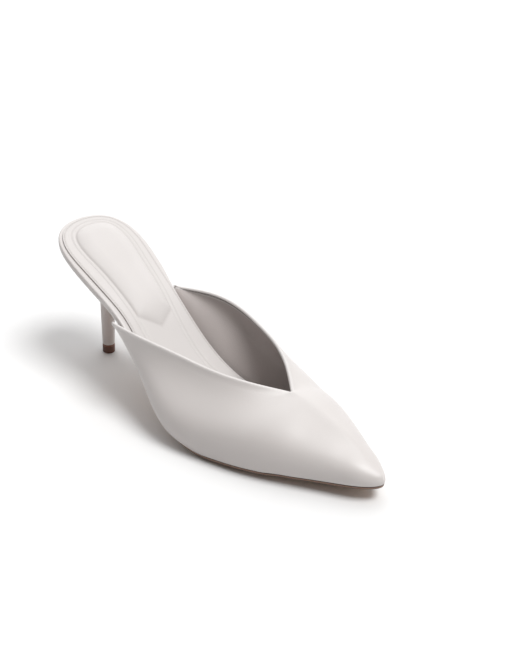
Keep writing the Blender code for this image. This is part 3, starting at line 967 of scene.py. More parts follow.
class Finishes:
    """Every finish of the shoe, built once."""

    def __init__(self) -> None:
        """Build the shared groups and then the materials."""
        groups = {"grain": grain_group(), "tone": tone_group(), "rub_highlight": rub_highlight_group(), "scuff": scuff_group()}
        self.upper = Leather(
            "ivory upper leather", IVORY, IVORY_DEEP,
            rub_highlight_colour=(0.655, 0.625, 0.61), shade_line_colour=(0.09, 0.075, 0.07),
        ).build(groups)
        # Painted shade: the lining is the upper's ivory leather made darker, for the shade inside the shoe.
        self.lining = Leather(
            "ivory lining leather darkened as painted shade", (0.47, 0.425, 0.41), (0.44, 0.395, 0.38), 0.55, 0.0, 1100.0, 0.05
        ).build(groups)
        self.rim = Leather("ivory rim leather", IVORY, IVORY_DEEP, 0.42, 0.10).build(groups)
        # The sock's line colour is painted shade in its grooves and along its edges.
        self.sock = Leather(
            "ivory sock leather", (0.585, 0.553, 0.54), (0.568, 0.534, 0.52), 0.52, 0.03, 1200.0, 0.045,
            shade_line_colour=(0.37, 0.335, 0.32),
        ).build(groups)
        self.heel = Leather(
            "ivory heel cover leather", (0.55, 0.50, 0.48), (0.53, 0.48, 0.46), grain_depth=0.03
        ).build(groups)
        self.thread = Leather(
            "ivory thread", (0.62, 0.59, 0.57), (0.55, 0.52, 0.50), 0.6, 0.0, 5000.0, 0.02
        ).build(groups)
        self.sole = SoleFinish(
            "tan sole leather", (0.45, 0.31, 0.22), (0.23, 0.14, 0.10), (0.022, 0.013, 0.011)
        ).build(groups)
        self.top_piece = Moulded(
            "brown top piece plastic", (0.10, 0.035, 0.02), (0.15, 0.06, 0.035)
        ).build(groups)
        self.top_ring = Moulded("brown top piece ring", (0.18, 0.07, 0.04), (0.23, 0.10, 0.06)).build(groups)


def dress(piece: bpy.types.Object, finish: bpy.types.Material, slot: str, *nodes: str) -> bpy.types.Object:
    """Give a finished piece its material and its place on the frame.

    Args:
        piece: The piece.
        finish: Its material.
        slot: The record's material slot; not used.
        nodes: The solids that it stands for.

    Returns:
        The piece.
    """
    if not piece.data.materials:
        piece.data.materials.append(finish)
    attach(piece, BODY)
    if nodes:
        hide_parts(*nodes)
    faces = sum(len(face.vertices) - 2 for face in piece.data.polygons)
    LOG.info("%s: %d triangles, finish %s", piece.name, faces, finish.name)
    return piece


@dataclass
class Thread:
    """A row of stitches that follows a path, made by geometry nodes."""

    pitch: float
    length: float
    width: float
    height: float

    @staticmethod
    def tree() -> bpy.types.NodeTree:
        """Build the tree that lays stitches along a path.

        Returns:
            The tree, with inputs for the stitches' pitch, sizes and material.
        """
        known = bpy.data.node_groups.get("Stitches along a path")
        if known:
            return known
        tree = bpy.data.node_groups.new("Stitches along a path", "GeometryNodeTree")
        kinds = {"Path": "Geometry", "Seed": "Int", "Thread": "Material"}
        for label in ("Path", "Pitch", "Length", "Width", "Height", "Seed", "Thread"):
            kind = "NodeSocket" + kinds.get(label, "Float")
            tree.interface.new_socket(label, in_out="INPUT", socket_type=kind)
        tree.interface.new_socket("Stitches", in_out="OUTPUT", socket_type="NodeSocketGeometry")
        nodes = Nodes(tree)
        start = nodes.add("NodeGroupInput").outputs
        curve = nodes.add("GeometryNodeMeshToCurve", {"Mesh": start["Path"]})
        spacing = {"Curve": curve.outputs[0], "Length": start["Pitch"]}
        spots = nodes.add("GeometryNodeResampleCurve", spacing, mode="LENGTH")
        bead = nodes.add("GeometryNodeMeshUVSphere", {"Segments": 8, "Rings": 6, "Radius": 0.5})
        sizes = {axis: start[label] for axis, label in zip("XYZ", ("Length", "Width", "Height"))}
        size = nodes.add("ShaderNodeCombineXYZ", sizes)
        shape = {"Geometry": bead.outputs["Mesh"], "Scale": size.outputs[0]}
        stitch = nodes.add("GeometryNodeTransform", shape)
        tangent = nodes.add("GeometryNodeInputTangent")
        ahead = nodes.add("FunctionNodeAlignRotationToVector", {"Vector": tangent.outputs[0]}, axis="X")
        up = nodes.add("GeometryNodeInputNamedAttribute", {"Name": "up"}, data_type="FLOAT_VECTOR")
        turn = {"Rotation": ahead.outputs[0], "Vector": up.outputs["Attribute"]}
        upright = nodes.add("FunctionNodeAlignRotationToVector", turn, axis="Z", pivot_axis="X")
        spread = {2: 0.92, 3: 1.04, "Seed": start["Seed"]}
        slack = nodes.add("FunctionNodeRandomValue", spread, data_type="FLOAT")
        row = {"Points": spots.outputs[0], "Instance": stitch.outputs[0], "Rotation": upright.outputs[0]}
        rows = nodes.add("GeometryNodeInstanceOnPoints", {**row, "Scale": slack.outputs[1]})
        real = nodes.add("GeometryNodeRealizeInstances", {"Geometry": rows.outputs[0]})
        finish = {"Geometry": real.outputs[0], "Material": start["Thread"]}
        dressed = nodes.add("GeometryNodeSetMaterial", finish)
        shaded = nodes.add("GeometryNodeSetShadeSmooth", {"Geometry": dressed.outputs[0]})
        nodes.add("NodeGroupOutput", {"Stitches": shaded.outputs[0]})
        return tree

    def sew(
        self, name: str, paths: list[tuple[np.ndarray, np.ndarray]], finish: bpy.types.Material
    ) -> bpy.types.Object:
        """Sew stitches along paths.

        Args:
            name: The object's name.
            paths: Points and upward directions of each path.
            finish: The thread's material.

        Returns:
            The stitches as one plain mesh.
        """
        points = np.concatenate([path for path, _ in paths])
        ups = np.concatenate([up for _, up in paths])
        edges, first = [], 0
        for path, _ in paths:
            edges += [(first + i, first + i + 1) for i in range(len(path) - 1)]
            first += len(path)
        mesh = bpy.data.meshes.new(name + "_path")
        mesh.from_pydata([tuple(point) for point in (points - CENTRE) * MM], edges, [])
        layer = mesh.attributes.new("up", "FLOAT_VECTOR", "POINT")
        layer.data.foreach_set("vector", ups.astype(np.float32).ravel())
        path_object = place_object(name + "_path", mesh)
        modifier = path_object.modifiers.new("stitches", "NODES")
        modifier.node_group = tree = self.tree()
        values = {
            "Pitch": self.pitch * MM,
            "Length": self.length * MM,
            "Width": self.width * MM,
            "Height": self.height * MM,
            "Seed": 7,
            "Thread": finish,
        }
        for item in tree.interface.items_tree:
            if item.in_out == "INPUT" and item.name in values:
                modifier[item.identifier] = values[item.name]
        shapes = bpy.context.evaluated_depsgraph_get()
        plain = bpy.data.meshes.new_from_object(path_object.evaluated_get(shapes))
        plain.name = name
        bpy.data.objects.remove(path_object)
        return place_object(name, plain)


@dataclass
class Upper:
    """The one-piece vamp with its rolled collar, its lining and the stitches inside the collar."""

    wall: float = 1.9
    vamp_thickness: float = 1.55
    rear_rows: int = 72
    front_rows: int = 84
    columns: int = 64
    roll: float = 0.2
    roll_width: float = 1.4
    turned_band: float = 2.3
    stitch_line: float = 1.35
    bead: float = 0.95
    ease_reach: float = 11.0
    ease_passes: int = 500
    wing_edge: float = 105.0
    crowd_toe: float = 1.35
    crowd_collar: float = 1.4
    swell: float = 0.07
    ripple: float = 0.02
    lining_swell: float = 0.10
    tuck_depth: float = 0.22
    band_step: float = 0.12
    band_dip: float = 0.05
    stitch_depth: float = 0.14
    bead_shade_line: float = 0.35
    fit_gap: float = 0.03

    def skin(self, rear_rows: int, front_rows: int, columns: int, trim: float) -> Skin:
        """Make the sheet that the outer face follows.

        Args:
            rear_rows: Number of sections behind the throat.
            front_rows: Number of sections ahead of it.
            columns: Number of steps in each section.
            trim: How far the sheet stops short of the collar's edge.

        Returns:
            The sheet.
        """
        rear = np.linspace(trim / self.wing_edge, 1.0, rear_rows + 1)[:-1]
        front = 1.0 - (1.0 - np.linspace(0.0, 1.0, front_rows + 1)) ** self.crowd_toe
        edge = LAST.collar_edge()
        even = 1.0 - np.linspace(0.0, 1.0, columns + 1)[None, :]
        crowd = self.crowd_collar
        power = np.concatenate([np.full(rear_rows, crowd), mix(crowd, 1.0, smooth(front, 0.0, 0.3))])
        steps = 1.0 - even ** power[:, None]
        points, faces, last_row = [], [], None
        for side in Side:
            ribs = LAST.ribs(side, rear, front)
            share = (self._reach(ribs, edge, trim)[:, None] * steps)[:, :, None]
            grid = self._curve(ribs, share)
            if last_row is None:
                last_row = grid[-1]
            else:
                grid[-1] = last_row
            woven = weave_grid(len(grid), columns + 1, sum(len(part) for part in points))
            faces += woven if side is Side.MEDIAL else [face[::-1] for face in woven]
            points.append(grid.reshape(-1, 3))
        foot = np.zeros((2, rear_rows + front_rows + 1, columns + 1), bool)
        foot[:, :, 0] = True
        skin = Skin(np.concatenate(points), faces, foot.reshape(-1))
        self._ease(skin, edge, trim)
        return skin

    def _ease(self, skin: Skin, edge: np.ndarray, trim: float) -> None:
        """Round the sheet over its ridge and just ahead of the throat.

        Args:
            skin: The sheet.
            edge: Points of the collar's edge.
            trim: How far the sheet stops short of that edge.
        """
        ridge = LAST.top_line(LAST.ridge, np.linspace(LAST.throat, LAST.ridge_end, 160))
        ends, climb = np.array((0.0, 1.0)), np.linspace(0.0, 1.0, 90)[None, :, None]
        throat = np.vstack([self._curve(LAST.ribs(side, np.zeros(0), ends), climb)[0] for side in Side])
        lift = skin.points[:, 2] - LAST.feather(skin.points[:, 0]) - LAST.cup(*skin.points[:, :2].T)
        gap = np.minimum(nearest(skin.points, ridge), nearest(skin.points, throat))
        near = 1.0 - smooth(gap, self.ease_reach, 2.0 * self.ease_reach)
        away = smooth(nearest(skin.points, edge), trim + 0.05, trim + 7.0)
        skin.ease(near * away * smooth(lift, 0.3, 5.0), self.ease_passes)

    @staticmethod
    def _curve(ribs: tuple[np.ndarray, ...], share: np.ndarray) -> np.ndarray:
        """Return the points of each section at the given shares of its curve."""
        foot, low, high, top = (rib[:, None] for rib in ribs)
        rest = 1.0 - share
        curve = rest ** 3 * foot + 3.0 * rest ** 2 * share * low
        return curve + 3.0 * rest * share ** 2 * high + share ** 3 * top

    def _reach(self, ribs: tuple[np.ndarray, ...], edge: np.ndarray, trim: float) -> np.ndarray:
        """Find how far up each section the sheet reaches.

        Args:
            ribs: The points that give the sections their curves.
            edge: Points of the collar's edge.
            trim: How far the sheet stops short of that edge.

        Returns:
            The share of its curve that each section keeps.
        """
        shares = np.linspace(0.0, 1.0, 161)
        curves = self._curve(ribs, np.broadcast_to(shares[None, :, None], (len(ribs[0]), len(shares), 1)))
        far = nearest(curves.reshape(-1, 3), edge).reshape(curves.shape[:2])
        reach = np.ones(len(curves))
        for row, gaps in enumerate(far):
            near = np.nonzero(gaps < trim)[0]
            if len(near):
                first = max(int(near[0]), 1)
                before, after = gaps[first - 1], gaps[first]
                part = (before - trim) / max(before - after, 1e-9)
                reach[row] = mix(shares[first - 1], shares[first], part)
        return reach

    def vamp(self) -> bpy.types.Object:
        """Make the vamp: leather turned over its collar and tucked in at the feather line."""
        skin = self.skin(self.rear_rows, self.front_rows, self.columns, self.bead)
        edge = np.maximum(nearest(skin.points, LAST.collar_edge()) - self.bead, 0.0)
        lift = skin.points[:, 2] - LAST.feather(skin.points[:, 0]) - LAST.cup(*skin.points[:, :2].T)
        outer = self.roll * bell(edge, 0.0, self.roll_width) - self.band_dip * bell(edge, 3.4, 0.9)
        outer -= self.tuck_depth * bell(lift, 0.0, 0.7)
        uneven = self.swell * drift(skin.points, 17.0, 3.0) + self.ripple * drift(skin.points, 5.0, 9.0)
        outer += smooth(edge, 1.0, 6.0) * uneven
        turned = 1.0 - smooth(edge, self.turned_band - 0.3, self.turned_band + 0.2)
        inner = self.vamp_thickness + (self.wall + self.band_step - self.vamp_thickness) * turned
        inner -= self.stitch_depth * bell(edge, self.stitch_line, 0.35)
        # Painted shade: dark lines on the inner face, just under the rolled edge and where the turned band
        # ends.
        line = bell(edge, self.bead_shade_line, 0.5) + 0.5 * bell(edge, self.turned_band, 0.35)
        return wall_of("vamp", skin, outer, inner, edge, 0.25, line)

    def lining(self) -> bpy.types.Object:
        """Make the lining that the collar is turned over."""
        skin = self.skin(60, 64, 40, self.turned_band)
        edge = nearest(skin.points, LAST.collar_edge())
        uneven = self.lining_swell * drift(skin.points * np.array((1.0, 1.0, 0.45)), 9.0, 5.0)
        inner = self.wall + smooth(edge, 3.0, 9.0) * uneven
        outer = np.full(len(skin.points), -(self.vamp_thickness + self.fit_gap))
        return wall_of("vamp_lining", skin, outer, inner, edge, 0.2, np.zeros(len(edge)), 4)

    def stitches(self, finish: bpy.types.Material) -> bpy.types.Object:
        """Sew the row of stitches inside the collar.

        Args:
            finish: The thread's material.

        Returns:
            The stitches.
        """
        paths = []
        rear, front, edge = np.linspace(0.02, 0.985, 120), np.array((0.0, 1.0)), LAST.collar_edge()
        for side in Side:
            ribs = tuple(rib[:len(rear)] for rib in LAST.ribs(side, rear, front))
            reach = self._reach(ribs, edge, self.stitch_line)
            here = self._curve(ribs, reach[:, None, None])[:, 0]
            below = self._curve(ribs, (reach - 0.02)[:, None, None])[:, 0]
            ahead = np.gradient(here, axis=0)
            normals = side.value * unit(np.cross(here - below, ahead))
            paths.append((here - normals * (self.wall + 0.02), -normals))
        return Thread(pitch=2.1, length=1.55, width=0.42, height=0.3).sew("collar_stitches", paths, finish)

    def build(self, finishes: Finishes) -> None:
        """Make and dress the pieces.

        Args:
            finishes: The shoe's materials.
        """
        dress(self.vamp(), finishes.upper, "upper_leather", "upper")
        dress(self.lining(), finishes.lining, "sock_leather")
        dress(self.stitches(finishes.thread), finishes.thread, "upper_leather")


class Rib(NamedTuple):
    """A point of a plate's edge profile: how far in from the outline, and its share of the height."""

    inset: float
    rise: float


@dataclass
class Plate:
    """A long thin piece that follows the sole's outline, made of closed sections across it."""

    name: str
    back: float
    rows: int
    columns: int
    edge: tuple[Rib, ...]
    inset: Callable[[Side, np.ndarray], np.ndarray]
    bottom: Callable[[np.ndarray], np.ndarray]
    top: Callable[[np.ndarray], np.ndarray]
    edge_steps: int

    def profile(self) -> np.ndarray:
        """Return the edge's profile as a smooth curve through its ribs."""
        ribs = np.array(self.edge)
        steps = np.linalg.norm(np.diff(ribs * (1.0, 3.0), axis=0), axis=1)
        knots = np.concatenate([[0.0], np.cumsum(steps)])
        return spline(knots, ribs, np.linspace(0.0, knots[-1], self.edge_steps))

    def make(self) -> bpy.types.Object:
        """Make the plate.

        Returns:
            The object, with attributes for its stained edge and for the painted shade above and below that:
            a dark line at the seam with the upper and a painted contact shadow along the bottom.
        """
        open_back = self.back > 0.0
        share = np.linspace(0.0, 1.0, self.rows)
        eased = 0.5 - 0.5 * np.cos(pi * share)
        share = 1.0 - (1.0 - share) ** 1.5 if open_back else mix(share, eased, 0.75)
        profile = self.profile()
        rims = []
        for side in Side:
            path = pick(LAST.outline_ahead(side, self.back), share)
            normals = LAST.outward(path, side, not open_back)
            if open_back:
                normals[0] = (0.0, side.value)
            rim = []
            for inset, rise in profile:
                plan = path - normals * (self.inset(side, path[:, 0]) + inset)[:, None]
                height = mix(self.bottom(plan[:, 0]), self.top(plan[:, 0]), rise)
                rim.append(np.column_stack([plan, height + LAST.cup(*plan.T)]))
            rims.append(rim)
        lateral, medial = rims
        strips = [*lateral, *self._across(lateral[-1], medial[-1], self.top), *medial[::-1]]
        strips += self._across(medial[0], lateral[0], self.bottom)
        rises = [rise for _, rise in profile]
        inner = self.columns - 1
        heights = np.array([*rises, *[1.0] * inner, *rises[::-1], *[0.0] * inner])
        flat = np.array(([1.0] * len(rises) + [0.0] * inner) * 2)
        points = np.stack(strips, axis=1).reshape(-1, 3)
        faces = weave_grid(self.rows, len(strips), wrap=True)
        if open_back:
            faces.append(tuple(range(len(strips))))
        side_mark = np.tile(flat * smooth(heights, 0.02, 0.2), self.rows)
        # Painted shade: a dark line at the top of the edge, at the seam with the upper, and a painted
        # contact shadow at its bottom.
        shade = smooth(heights, 0.0, 0.05) * (1.0 - smooth(heights, 0.22, 0.42))
        seam_shade_mark = np.tile(flat * np.maximum(smooth(heights, 0.7, 0.88), shade), self.rows)
        return make_object(self.name, points, faces, {"side": side_mark, "seam": seam_shade_mark})

    def _across(self, start: np.ndarray, end: np.ndarray, height: Callable) -> list[np.ndarray]:
        """Return the strips that join one side of the plate to the other."""
        strips = []
        for step in range(1, self.columns):
            plan = mix(start[:, :2], end[:, :2], step / self.columns)
            strips.append(np.column_stack([plan, height(plan[:, 0]) + LAST.cup(*plan.T)]))
        return strips


@dataclass
class Footbed:
    """The wrapped board, and the sock lining with its heel pad and its row of stitches."""

    seat_thickness: float = 4.8
    forepart_thickness: float = 2.4
    wrap_lateral: tuple[float, float] = (58.0, 78.0)
    wrap_medial: tuple[float, float] = (50.0, 68.0)
    upper_gap: float = 2.5
    sock_thickness: float = 1.1
    sock_gap: float = 0.03
    stations: int = 400
    pad_rise: float = 1.5
    pad_slope: float = 1.9
    pad_crown: float = 0.9
    pad_crown_reach: float = 9.5
    pad_tip: tuple[float, float] = (84.6, -5.8)
    pad_slant_lateral: float = 0.75
    pad_slant_medial: float = 0.44
    rib_width: float = 2.5
    rib_lift: float = 0.1
    groove_depth: float = 0.26
    groove_width: float = 0.5
    groove_shift: float = 0.35
    groove_fade: tuple[float, float] = (118.0, 132.0)
    shade_line_strength: float = 0.26
    edge_shade_line: float = 0.9
    stitch_inset: float = 1.25
    stitch_end: float = 116.0
    seam_depth: float = 0.13
    seam_fade: tuple[float, float] = (112.0, 124.0)
    fine_strips: tuple[float, float, float] = (0.9, 17.5, 0.42)
    spine_back: float = 25.0
    spine_front: float = 231.0
    sock_lateral: tuple[Level, ...] = table_of(
        Level, (0, 2.6), (20, 2.6), (40, 3.5), (62, 3.7), (84, 4.4), (112, 2.4), (130, 2.2), (150, 2.2),
        (180, 2.2), (210, 2.2), (245, 2.2),
    )
    sock_medial: tuple[Level, ...] = table_of(
        Level, (0, 2.6), (30, 2.8), (70, 3), (100, 2.3), (120, 2.2), (150, 2.2), (180, 2.2), (210, 2.2),
        (245, 2.2),
    )
    groove_lateral: tuple[Level, ...] = table_of(
        Level, (0, 9.8), (12, 11), (28, 12.4), (44, 13.6), (60, 12.9), (72, 12.6), (88, 13.6), (130, 14.5),
        (245, 14.5),
    )
    groove_medial: tuple[Level, ...] = table_of(
        Level, (0, 9.8), (14, 10.2), (30, 11), (45, 11.7), (62, 11.9), (76, 12.7), (90, 14.3), (130, 15),
        (245, 15),
    )

    def board_top(self, x: np.ndarray) -> np.ndarray:
        """Return the height of the board's upper face."""
        thickness = mix(self.seat_thickness, self.forepart_thickness, smooth(x, 95.0, 150.0))
        return LAST.feather(x) + thickness

    def board(self) -> bpy.types.Object:
        """Make the board in its leather wrapping, with a soft rim."""
        edge = table_of(
            Rib, (3.2, 0.02), (2, 0), (0.75, 0.06), (0.15, 0.24), (0, 0.5), (0.05, 0.76), (0.35, 0.92),
            (1.05, 1), (2.2, 1.02), (3.4, 1),
        )
        return Plate(
            "wrapped_board", back=0.0, rows=150, columns=6, edge=edge, inset=self.board_inset,
            bottom=LAST.feather, top=self.board_top, edge_steps=26,
        ).make()

    def board_inset(self, side: Side, x: np.ndarray) -> np.ndarray:
        """Return how far in the board's edge lies: nothing at the seat, and clear of the upper ahead."""
        start, end = side.of(self.wrap_lateral, self.wrap_medial)
        return (self.upper_gap - LAST.flare(side, x)) * smooth(x, start, end)

    def sock_inset(self, side: Side, x: np.ndarray) -> np.ndarray:
        """Return how far in from the outline the sock's edge lies."""
        return read(side.of(self.sock_lateral, self.sock_medial), x)

    def _rays(self, side: Side) -> tuple[np.ndarray, np.ndarray, np.ndarray]:
        """Lay out the rays that run in from the sock's edge to the middle of the foot.

        Args:
            side: Which side of the foot.

        Returns:
            The start of each ray, its end, and the place along the foot of its start.
        """
        share = np.linspace(0.0, 1.0, self.stations)
        share = mix(share, 0.5 - 0.5 * np.cos(pi * share), 0.6)
        path = pick(LAST.half_outline(side), share)
        normals = LAST.outward(path, side, True)
        start = path - normals * self.sock_inset(side, path[:, 0])[:, None]
        lateral = pick(LAST.half_outline(Side.LATERAL), share)
        medial = pick(LAST.half_outline(Side.MEDIAL), share)
        x = 0.5 * (lateral[:, 0] + medial[:, 0])
        x = 0.5 * (x + self.spine_back + np.sqrt((x - self.spine_back) ** 2 + 16.0))
        x = soft_least(x, np.full_like(x, self.spine_front), 4.0)
        y = 0.5 * (np.interp(x, lateral[:, 0], lateral[:, 1]) + np.interp(x, medial[:, 0], medial[:, 1]))
        return start, np.column_stack([x, y]), path[:, 0]

    def relief(
        self, x: np.ndarray, y: np.ndarray, depth: np.ndarray, groove: np.ndarray
    ) -> tuple[np.ndarray, np.ndarray]:
        """Shape the sock's upper face: the heel pad, and the rib and grooves round it.

        Args:
            x: Places along the foot.
            y: Places across it.
            depth: How far each point lies in from the outline.
            groove: How far in the groove at the pad's edge lies there.

        Returns:
            The rise of each point, and how much painted shade lies there, along the grooves and the pad's
            edge.
        """
        slant = np.where(y < self.pad_tip[1], self.pad_slant_lateral, self.pad_slant_medial)
        aside = np.sqrt((y - self.pad_tip[1]) ** 2 + 0.15)
        front = (self.pad_tip[0] - x - slant * aside) * 0.85
        room = soft_least(depth - groove, front, 0.6)
        raised = np.maximum(room, 0.0)
        pad = self.pad_rise * (1.0 - np.exp(-raised / self.pad_slope))
        pad += self.pad_crown * smooth(raised, 0.0, self.pad_crown_reach)
        fade = 1.0 - smooth(x, *self.groove_fade)
        inward = depth - groove + self.groove_shift
        outer_groove = bell(inward, -self.rib_width, self.groove_width)
        inner_groove = bell(inward, 0.0, self.groove_width)
        grooves = -self.groove_depth * np.maximum(inner_groove, outer_groove)
        grooves += self.rib_lift * bell(inward, -0.5 * self.rib_width, 0.7)
        # Painted shade along the pad's edge and in the grooves round it.
        line = np.maximum(bell(room, -0.1, 0.6), fade * np.maximum(outer_groove, 0.5 * inner_groove))
        line *= self.shade_line_strength
        return pad + fade * grooves, line

    def sock(self) -> bpy.types.Object:
        """Make the sock lining, with a mesh that runs along its grooves."""
        near = np.arange(*self.fine_strips)
        grids, faces, lines = [], [], []
        for side in Side:
            start, end, key = self._rays(side)
            length = np.linalg.norm(end - start, axis=1)
            ahead = (end - start) / length[:, None]
            edge_in = self.sock_inset(side, key)
            groove = read(side.of(self.groove_lateral, self.groove_medial), key)
            scale = np.minimum(1.0, length / 21.0)
            columns = [(length, 0.0), (0.5 * length, 0.0), (0.5 * scale, 0.0), (0.12, 0.1), (0.0, 0.4)]
            columns += [(0.05, 0.65), (0.18 * scale, 0.85), (0.42 * scale, 0.97)]
            columns += [(distance * scale, 1.0) for distance in near]
            first_far = near[-1] * scale
            columns += [(mix(first_far, length, share), 1.0) for share in np.linspace(0.0, 1.0, 11)[1:]]
            strips, marks = [], []
            for distance, rise in columns:
                distance = np.broadcast_to(distance, length.shape)
                plan = start + ahead * distance[:, None]
                low = self.board_top(plan[:, 0]) + LAST.cup(*plan.T) + self.sock_gap
                thick = np.full(len(plan), self.sock_thickness)
                # Painted shade: a dark line on the sock's cut edge, where it meets the rim.
                mark = np.full(len(plan), self.edge_shade_line if rise < 0.6 else 0.0)
                if rise >= 1.0:
                    relief, mark = self.relief(plan[:, 0], plan[:, 1], distance + edge_in, groove)
                    seam = bell(distance, self.stitch_inset, 0.4)
                    seam = seam * (1.0 - smooth(plan[:, 0], *self.seam_fade))
                    thick = thick + relief - self.seam_depth * seam
                    # Painted shade in the stitch groove.
                    mark = np.maximum(mark, 0.5 * seam)
                strips.append(np.column_stack([plan, low + thick * rise]))
                marks.append(mark)
            grid = np.stack(strips, axis=1)
            woven = weave_grid(len(grid), len(strips), sum(len(part) for part in grids))
            faces += woven if side is Side.LATERAL else [face[::-1] for face in woven]
            grids.append(grid.reshape(-1, 3))
            lines.append(np.stack(marks, axis=1).ravel())
        data = {"line": np.concatenate(lines)}
        return make_object("padded_sock_lining", np.concatenate(grids), faces, data, crease=70.0)

    def stitches(self, finish: bpy.types.Material) -> bpy.types.Object:
        """Sew the row of stitches round the sock's edge.

        Args:
            finish: The thread's material.

        Returns:
            The stitches.
        """
        sides = []
        for side in Side:
            start, end, key = self._rays(side)
            plan = start + unit(end - start) * self.stitch_inset
            plan = plan[key < self.stitch_end]
            height = self.board_top(plan[:, 0]) + self.sock_thickness - 0.02
            sides.append(np.column_stack([plan, height]))
        path = np.vstack([sides[0][::-1], sides[1][1:]])
        slope = LAST.feather(path[:, 0] + 0.5) - LAST.feather(path[:, 0] - 0.5)
        ups = unit(np.column_stack([-slope, np.zeros(len(path)), np.ones(len(path))]))
        thread = Thread(pitch=1.9, length=1.4, width=0.38, height=0.3)
        return thread.sew("sock_stitches", [(path, ups)], finish)

    def build(self, finishes: Finishes) -> None:
        """Make and dress the pieces.

        Args:
            finishes: The shoe's materials.
        """
        dress(self.board(), finishes.rim, "rim_leather", "insole_board")
        sock = dress(self.sock(), finishes.sock, "sock_leather", "sock_lining")
        dress(self.stitches(finishes.thread), finishes.thread, "sock_leather")


@dataclass
class Outsole:
    """The thin leather outsole, from the heel's breast to the toe."""

    back: float = 47.2
    thickness: float = 1.8
    gap: float = 0.3
    seam: float = 0.08
    inset_waist: float = 2.2
    inset_ball: float = 0.6
    inset_toe: float = 0.45

    def inset(self, side: Side, x: np.ndarray) -> np.ndarray:
        """Return how far in the sole's edge lies."""
        ball = mix(self.inset_waist, self.inset_ball, smooth(x, 95.0, 150.0))
        return mix(ball, self.inset_toe, smooth(x, 175.0, 220.0))

    def build(self, finishes: Finishes) -> None:
        """Make and dress the outsole.

        Args:
            finishes: The shoe's materials.
        """
        edge = (Rib(1.5, 0.0), Rib(0.55, 0.03), Rib(0.1, 0.22), Rib(0.0, 0.5), Rib(0.05, 0.8), Rib(0.5, 1.0))
        plate = Plate(
            "leather_outsole", back=self.back, rows=170, columns=8, edge=edge, inset=self.inset,
            bottom=lambda x: LAST.feather(x) - self.gap - self.thickness,
            top=lambda x: LAST.feather(x) - self.seam, edge_steps=14,
        )
        dress(plate.make(), finishes.sole, "sole_leather", "outsole")


@dataclass
class Heel:
    """The slim heel in its leather cover, and the top piece under it."""

    centre: float = 27.4
    side: float = 0.8
    back_reach: float = 3.8
    front_reach: float = 4.0
    half_width: float = 3.9
    taper: float = 1.35
    flare_start: float = 0.52
    flare_power: float = 2.2
    breast: float = 46.4
    breast_hollow: float = 1.0
    inset: float = 2.4
    top_piece_height: float = 6.0
    ring_height: float = 1.3
    joint: float = 0.05
    round_off: float = 0.12
    sides: int = 96
    levels: int = 90

    def shaft(self, scale: float) -> np.ndarray:
        """Return a round-backed section of the shaft, scaled."""
        points = []
        for step in range(self.sides):
            angle = tau * step / self.sides
            reach = self.front_reach if cos(angle) > 0.0 else self.back_reach
            points.append((
                self.centre + scale * reach * cos(angle), self.side + scale * self.half_width * sin(angle)
            ))
        return np.array(points)

    def seat(self) -> np.ndarray:
        """Return the heel's outline under the seat, with its breast in front."""
        halves = []
        for side in Side:
            path = LAST.half_outline(side)
            behind = path[path[:, 0] < self.breast]
            normals = LAST.outward(behind, side, True)
            normals[-1] = normals[-2]
            halves.append(behind - normals * self.inset)
        lateral, medial = halves
        front = self.sides // 6
        around = np.vstack([medial[::-1], lateral[1:]])
        behind = pick(around, np.linspace(0.0, 1.0, self.sides - 2 * front + 1))
        breast = []
        for share in np.linspace(0.0, 1.0, 2 * front + 1)[1:-1]:
            y = mix(lateral[-1, 1], medial[-1, 1], share)
            breast.append((self.breast - self.breast_hollow * sin(pi * share), y))
        return np.roll(np.vstack([behind, breast]), -(self.sides - front), axis=0)

    def stack(self, name: str, rings: list[np.ndarray]) -> bpy.types.Object:
        """Join rings of points, one above the other, into a closed piece with flat ends."""
        faces = weave_grid(len(rings), self.sides, wrap=True)
        last = (len(rings) - 1) * self.sides
        faces += [tuple(range(self.sides)), tuple(range(last, last + self.sides))]
        return make_object(name, np.concatenate(rings), faces, crease=60.0)

    def cover(self) -> bpy.types.Object:
        """Make the covered heel."""
        base, seat = self.top_piece_height + self.joint, self.seat()
        rings = [np.column_stack([self.shaft(0.985), np.full(self.sides, base)])]
        for share in np.linspace(0.0, 1.0, self.levels):
            flare = max(0.0, (share - self.flare_start) / (1.0 - self.flare_start)) ** self.flare_power
            plan = mix(self.shaft(mix(1.0, self.taper, share)), seat, flare)
            height = mix(base + self.round_off, LAST.feather(plan[:, 0]) - self.round_off, share)
            rings.append(np.column_stack([plan, height]))
        middle = seat.mean(axis=0)
        for share in (0.97, 0.7, 0.4, 0.1):
            plan = mix(middle, seat, share)
            rings.append(np.column_stack([plan, LAST.feather(plan[:, 0]) - self.joint]))
        return self.stack("covered_heel", rings)

    def lift(self, name: str, low: float, high: float, swell: float) -> bpy.types.Object:
        """Make a layer of the top piece with rounded rims.

        Args:
            name: The object's name.
            low: Height of its lower face.
            high: Height of its upper face.
            swell: Scale of its outline against the shaft's.

        Returns:
            The object.
        """
        rings = []
        for scale, height in (
            (0.5, low), (0.93, low), (0.98, low + 0.06), (1.0, low + 0.22), (1.0, high - 0.16),
            (0.99, high - 0.04), (0.95, high), (0.5, high),
        ):
            rings.append(np.column_stack([self.shaft(scale * swell), np.full(self.sides, height)]))
        return self.stack(name, rings)

    def build(self, finishes: Finishes) -> None:
        """Make and dress the pieces.

        Args:
            finishes: The shoe's materials.
        """
        split = self.top_piece_height - self.ring_height
        dress(self.cover(), finishes.heel, "heel_cover", "heel")
        dress(self.lift("top_piece", 0.0, split, 1.01), finishes.top_piece, "top_piece", "heel_tip")
        dress(self.lift("top_piece_ring", split, self.top_piece_height, 1.0), finishes.top_ring, "top_piece")


class Glow(NamedTuple):
    """A wide soft light far off: where it comes from, in degrees, how strong it is and its colour."""

    azimuth: float
    elevation: float
    strength: float
    colour: Colour


